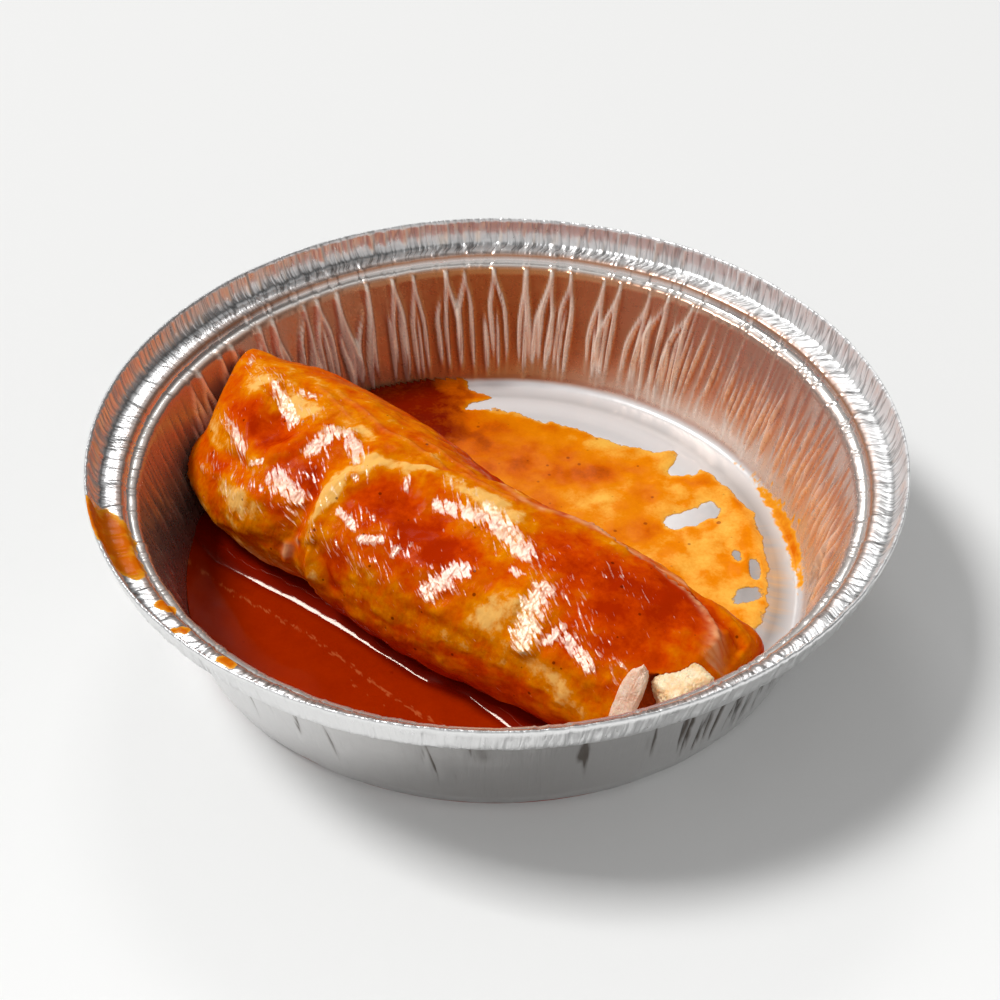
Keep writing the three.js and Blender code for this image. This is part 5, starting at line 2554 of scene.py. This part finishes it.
    def build(self) -> bpy.types.Object:
        """Makes the smear.

        Returns:
            The smear.
        """
        xs = np.arange(-60, 76, self.step)
        ys = np.arange(-46, 76, self.step)
        x, y = np.meshgrid(xs, ys, indexing="ij")
        cover = self.coverage(x, y)
        radius = np.hypot(x, y)
        floor = self.pan.floor_height(radius)
        heap = self.mound * bell(np.hypot(x - self.mound_at[0], y - self.mound_at[1]) / self.mound_reach)
        places = np.stack([x / 8, y / 8, x * 0], -1).reshape(-1, 3)
        swell = Unevenness(72).layered(places, 3).reshape(x.shape)
        full = self.film * (1 + 0.45 * swell) + heap
        thick = np.where(cover > 0, full * (1 - np.exp(-np.clip(cover, 0, None) / 1.9)), cover * 0.4)
        thick = np.maximum(thick, -0.3)
        top = np.stack([x, y, floor + thick], -1)
        bottom = np.stack([x, y, floor - 0.55], -1)
        live = (cover > -1.2) & (radius < 74.3)
        keep = live[:-1, :-1] & live[1:, :-1] & live[:-1, 1:] & live[1:, 1:]
        made = slab("sauce_smear_fine", top, bottom, keep)
        index = grid_points(made)
        depth = self.strength(x, y, cover)
        paint(made, "depth", np.clip(depth, 0, 1).ravel()[index])
        seen = ease(cover, -0.5, 0.9) * (0.8 + 0.2 * ease(depth, 0.02, 0.3))
        paint(made, "cover", seen.ravel()[index])
        paint(made, "cream", np.zeros(len(index)))
        paint(made, "glint", np.zeros(len(index)))
        finish = SauceFinish(
            "smear_sauce",
            thin=tone(250, 188, 76),
            light=tone(236, 136, 0),
            full=tone(214, 98, 0),
            deep=tone(126, 22, 0),
            roughness=0.3,
            still=0.04,
            grain=0.26,
            skin=0.00003,
        )
        made.data.materials.append(finish.build())
        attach(made, "root")
        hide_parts("sauce_smear")
        return made


# Surroundings


@dataclass
class Studio:
    """Pale floor, soft lights and camera.

    Attributes:
        camera_at: place of the camera, in metres.
        yaw: turn of the camera to the right, in degrees.
        pitch: how far it looks down, in degrees.
        lens: focal length for a sensor 36 mm wide.
        near_floor: colour of the ground near the viewer; the ground runs from this lighter colour to darker
            ones behind, as painted light.
        mid_floor: colour of the ground beside the pan.
        far_floor: colour of the ground behind it.
        fill: strength of the even light that soft surfaces get.
        low_sky: brightness of the surroundings near the ground.
        front_sky: brightness higher up.
        back_sky: brightness of the band behind the pan.
    """

    camera_at: tuple = (0.0, -0.272017, 0.251947)
    yaw: float = 0.1364
    pitch: float = 40.4036
    lens: float = 54.35
    near_floor: tuple = tone(247, 247, 246)
    mid_floor: tuple = tone(235, 235, 234)
    far_floor: tuple = tone(231, 231, 230)
    fill: float = 0.38
    low_sky: float = 0.8
    front_sky: float = 0.5
    back_sky: float = 0.6

    def lamp(
        self, name: str, way: Sequence[float], reach: float, size: tuple[float, float], power: float
    ) -> None:
        """Adds a soft rectangular light that faces the pan.

        Args:
            name: name of the light.
            way: direction from the pan towards the light.
            reach: distance in metres.
            size: width and height in metres.
            power: watts.
        """
        light = bpy.data.lights.new(name, "AREA")
        light.shape = "RECTANGLE"
        light.size, light.size_y = size
        light.energy = power
        holder = bpy.data.objects.new(name, light)
        direction = Vector(way).normalized()
        holder.location = direction * reach
        holder.rotation_euler = direction.to_track_quat("Z", "Y").to_euler()
        bpy.context.scene.collection.objects.link(holder)

    def room(self) -> bpy.types.World:
        """Makes the surrounding light, bright in front and dim behind.

        Returns:
            The world.
        """
        world = bpy.data.worlds.new("soft_room")
        world.use_nodes = True
        weave = Weave(world.node_tree)
        way = world.node_tree.nodes.new("ShaderNodeTexCoord").outputs["Generated"]
        parts = weave.add("ShaderNodeSeparateXYZ", Vector=way)
        ahead = weave.scaled(parts.outputs["Y"], -0.15, -0.5, 0.0, 1.0)
        height = weave.scaled(parts.outputs["Z"], 0.15, 0.42, self.low_sky, self.front_sky)
        front = weave.times(ahead, height)
        low = weave.scaled(parts.outputs["Z"], 0.4, 0.55, 0.0, self.back_sky)
        high = weave.scaled(parts.outputs["Z"], 0.86, 0.95, 1.0, 0.0)
        beside = weave.scaled(weave.math("ABSOLUTE", parts.outputs["X"]), 0.3, 0.6, 1.0, 0.0)
        behind = weave.times(weave.times(low, high), beside)
        behind = weave.times(behind, weave.scaled(parts.outputs["Y"], 0.2, 0.4, 0.0, 1.0))
        mirrored = weave.plus(front, weave.plus(behind, 0.05))
        ray = world.node_tree.nodes.new("ShaderNodeLightPath").outputs["Is Diffuse Ray"]
        other = weave.times(mirrored, weave.math("SUBTRACT", 1.0, ray))
        bright = weave.plus(other, weave.times(ray, self.fill))
        back = world.node_tree.nodes["Background"]
        back.inputs["Color"].default_value = (1, 1, 1, 1)
        weave.feed(back.inputs["Strength"], bright)
        return world

    def build(self) -> None:
        """Makes the floor, the lights and the camera."""
        scene = bpy.context.scene
        scene.view_settings.view_transform = "Standard"
        half = 3.0
        ground = make_object(
            "ground",
            np.array([[-half, -half, 0], [half, -half, 0], [half, half, 0], [-half, half, 0]]) / MM,
            [[0, 1, 2, 3]],
        )
        material, weave, surface = new_material("pale_ground")
        cloud = weave.effect(Effect.MOTTLE, weave.place(), 30.0, 0.04)
        weave.feed(surface.inputs["Roughness"], weave.plus(cloud, 0.6))
        # Painted light: the ground's colour is lighter in front and darker behind.
        parts = weave.add("ShaderNodeSeparateXYZ", Vector=weave.place())
        beyond = weave.scaled(parts.outputs["Y"], -0.15, 0.45, 0.0, 1.0)
        stops = [(0.0, self.near_floor), (0.25, self.mid_floor), (1.0, self.far_floor)]
        weave.feed(surface.inputs["Base Color"], weave.ramp(beyond, stops))
        surface.inputs["Specular IOR Level"].default_value = 0.0
        ground.data.materials.append(material)
        scene.world = self.room()
        self.lamp("key", (-0.545, 0.118, 0.829), 11.0, (2.9, 2.9), 880.0)
        self.lamp("back", (-0.07, 0.74, 0.66), 4.0, (1.1, 0.7), 19.0)
        camera = bpy.data.cameras.new("camera")
        camera.lens = self.lens
        camera.sensor_width = 36
        holder = bpy.data.objects.new("camera", camera)
        holder.location = self.camera_at
        holder.rotation_euler = (math.radians(90 - self.pitch), 0, math.radians(-self.yaw))
        scene.collection.objects.link(holder)
        scene.camera = holder


def main() -> None:
    """Builds the dressed pan, piece by piece."""
    logging.basicConfig(level=logging.INFO, format="%(name)s: %(message)s")
    pan = FoilPan()
    form = RollForm()
    filling = Filling(form, pan)
    wrap = Wrap(form, pan).build(filling.pieces)
    made = [pan.build(), wrap, *filling.build()]
    made += [SaucePool(form, pan, wrap).build(), SauceSmear(form, pan).build()]
    for piece in made:
        LOG.info("%s: %d points", piece.name, len(piece.data.vertices))
    Studio().build()


if __name__ == "__main__":
    main()
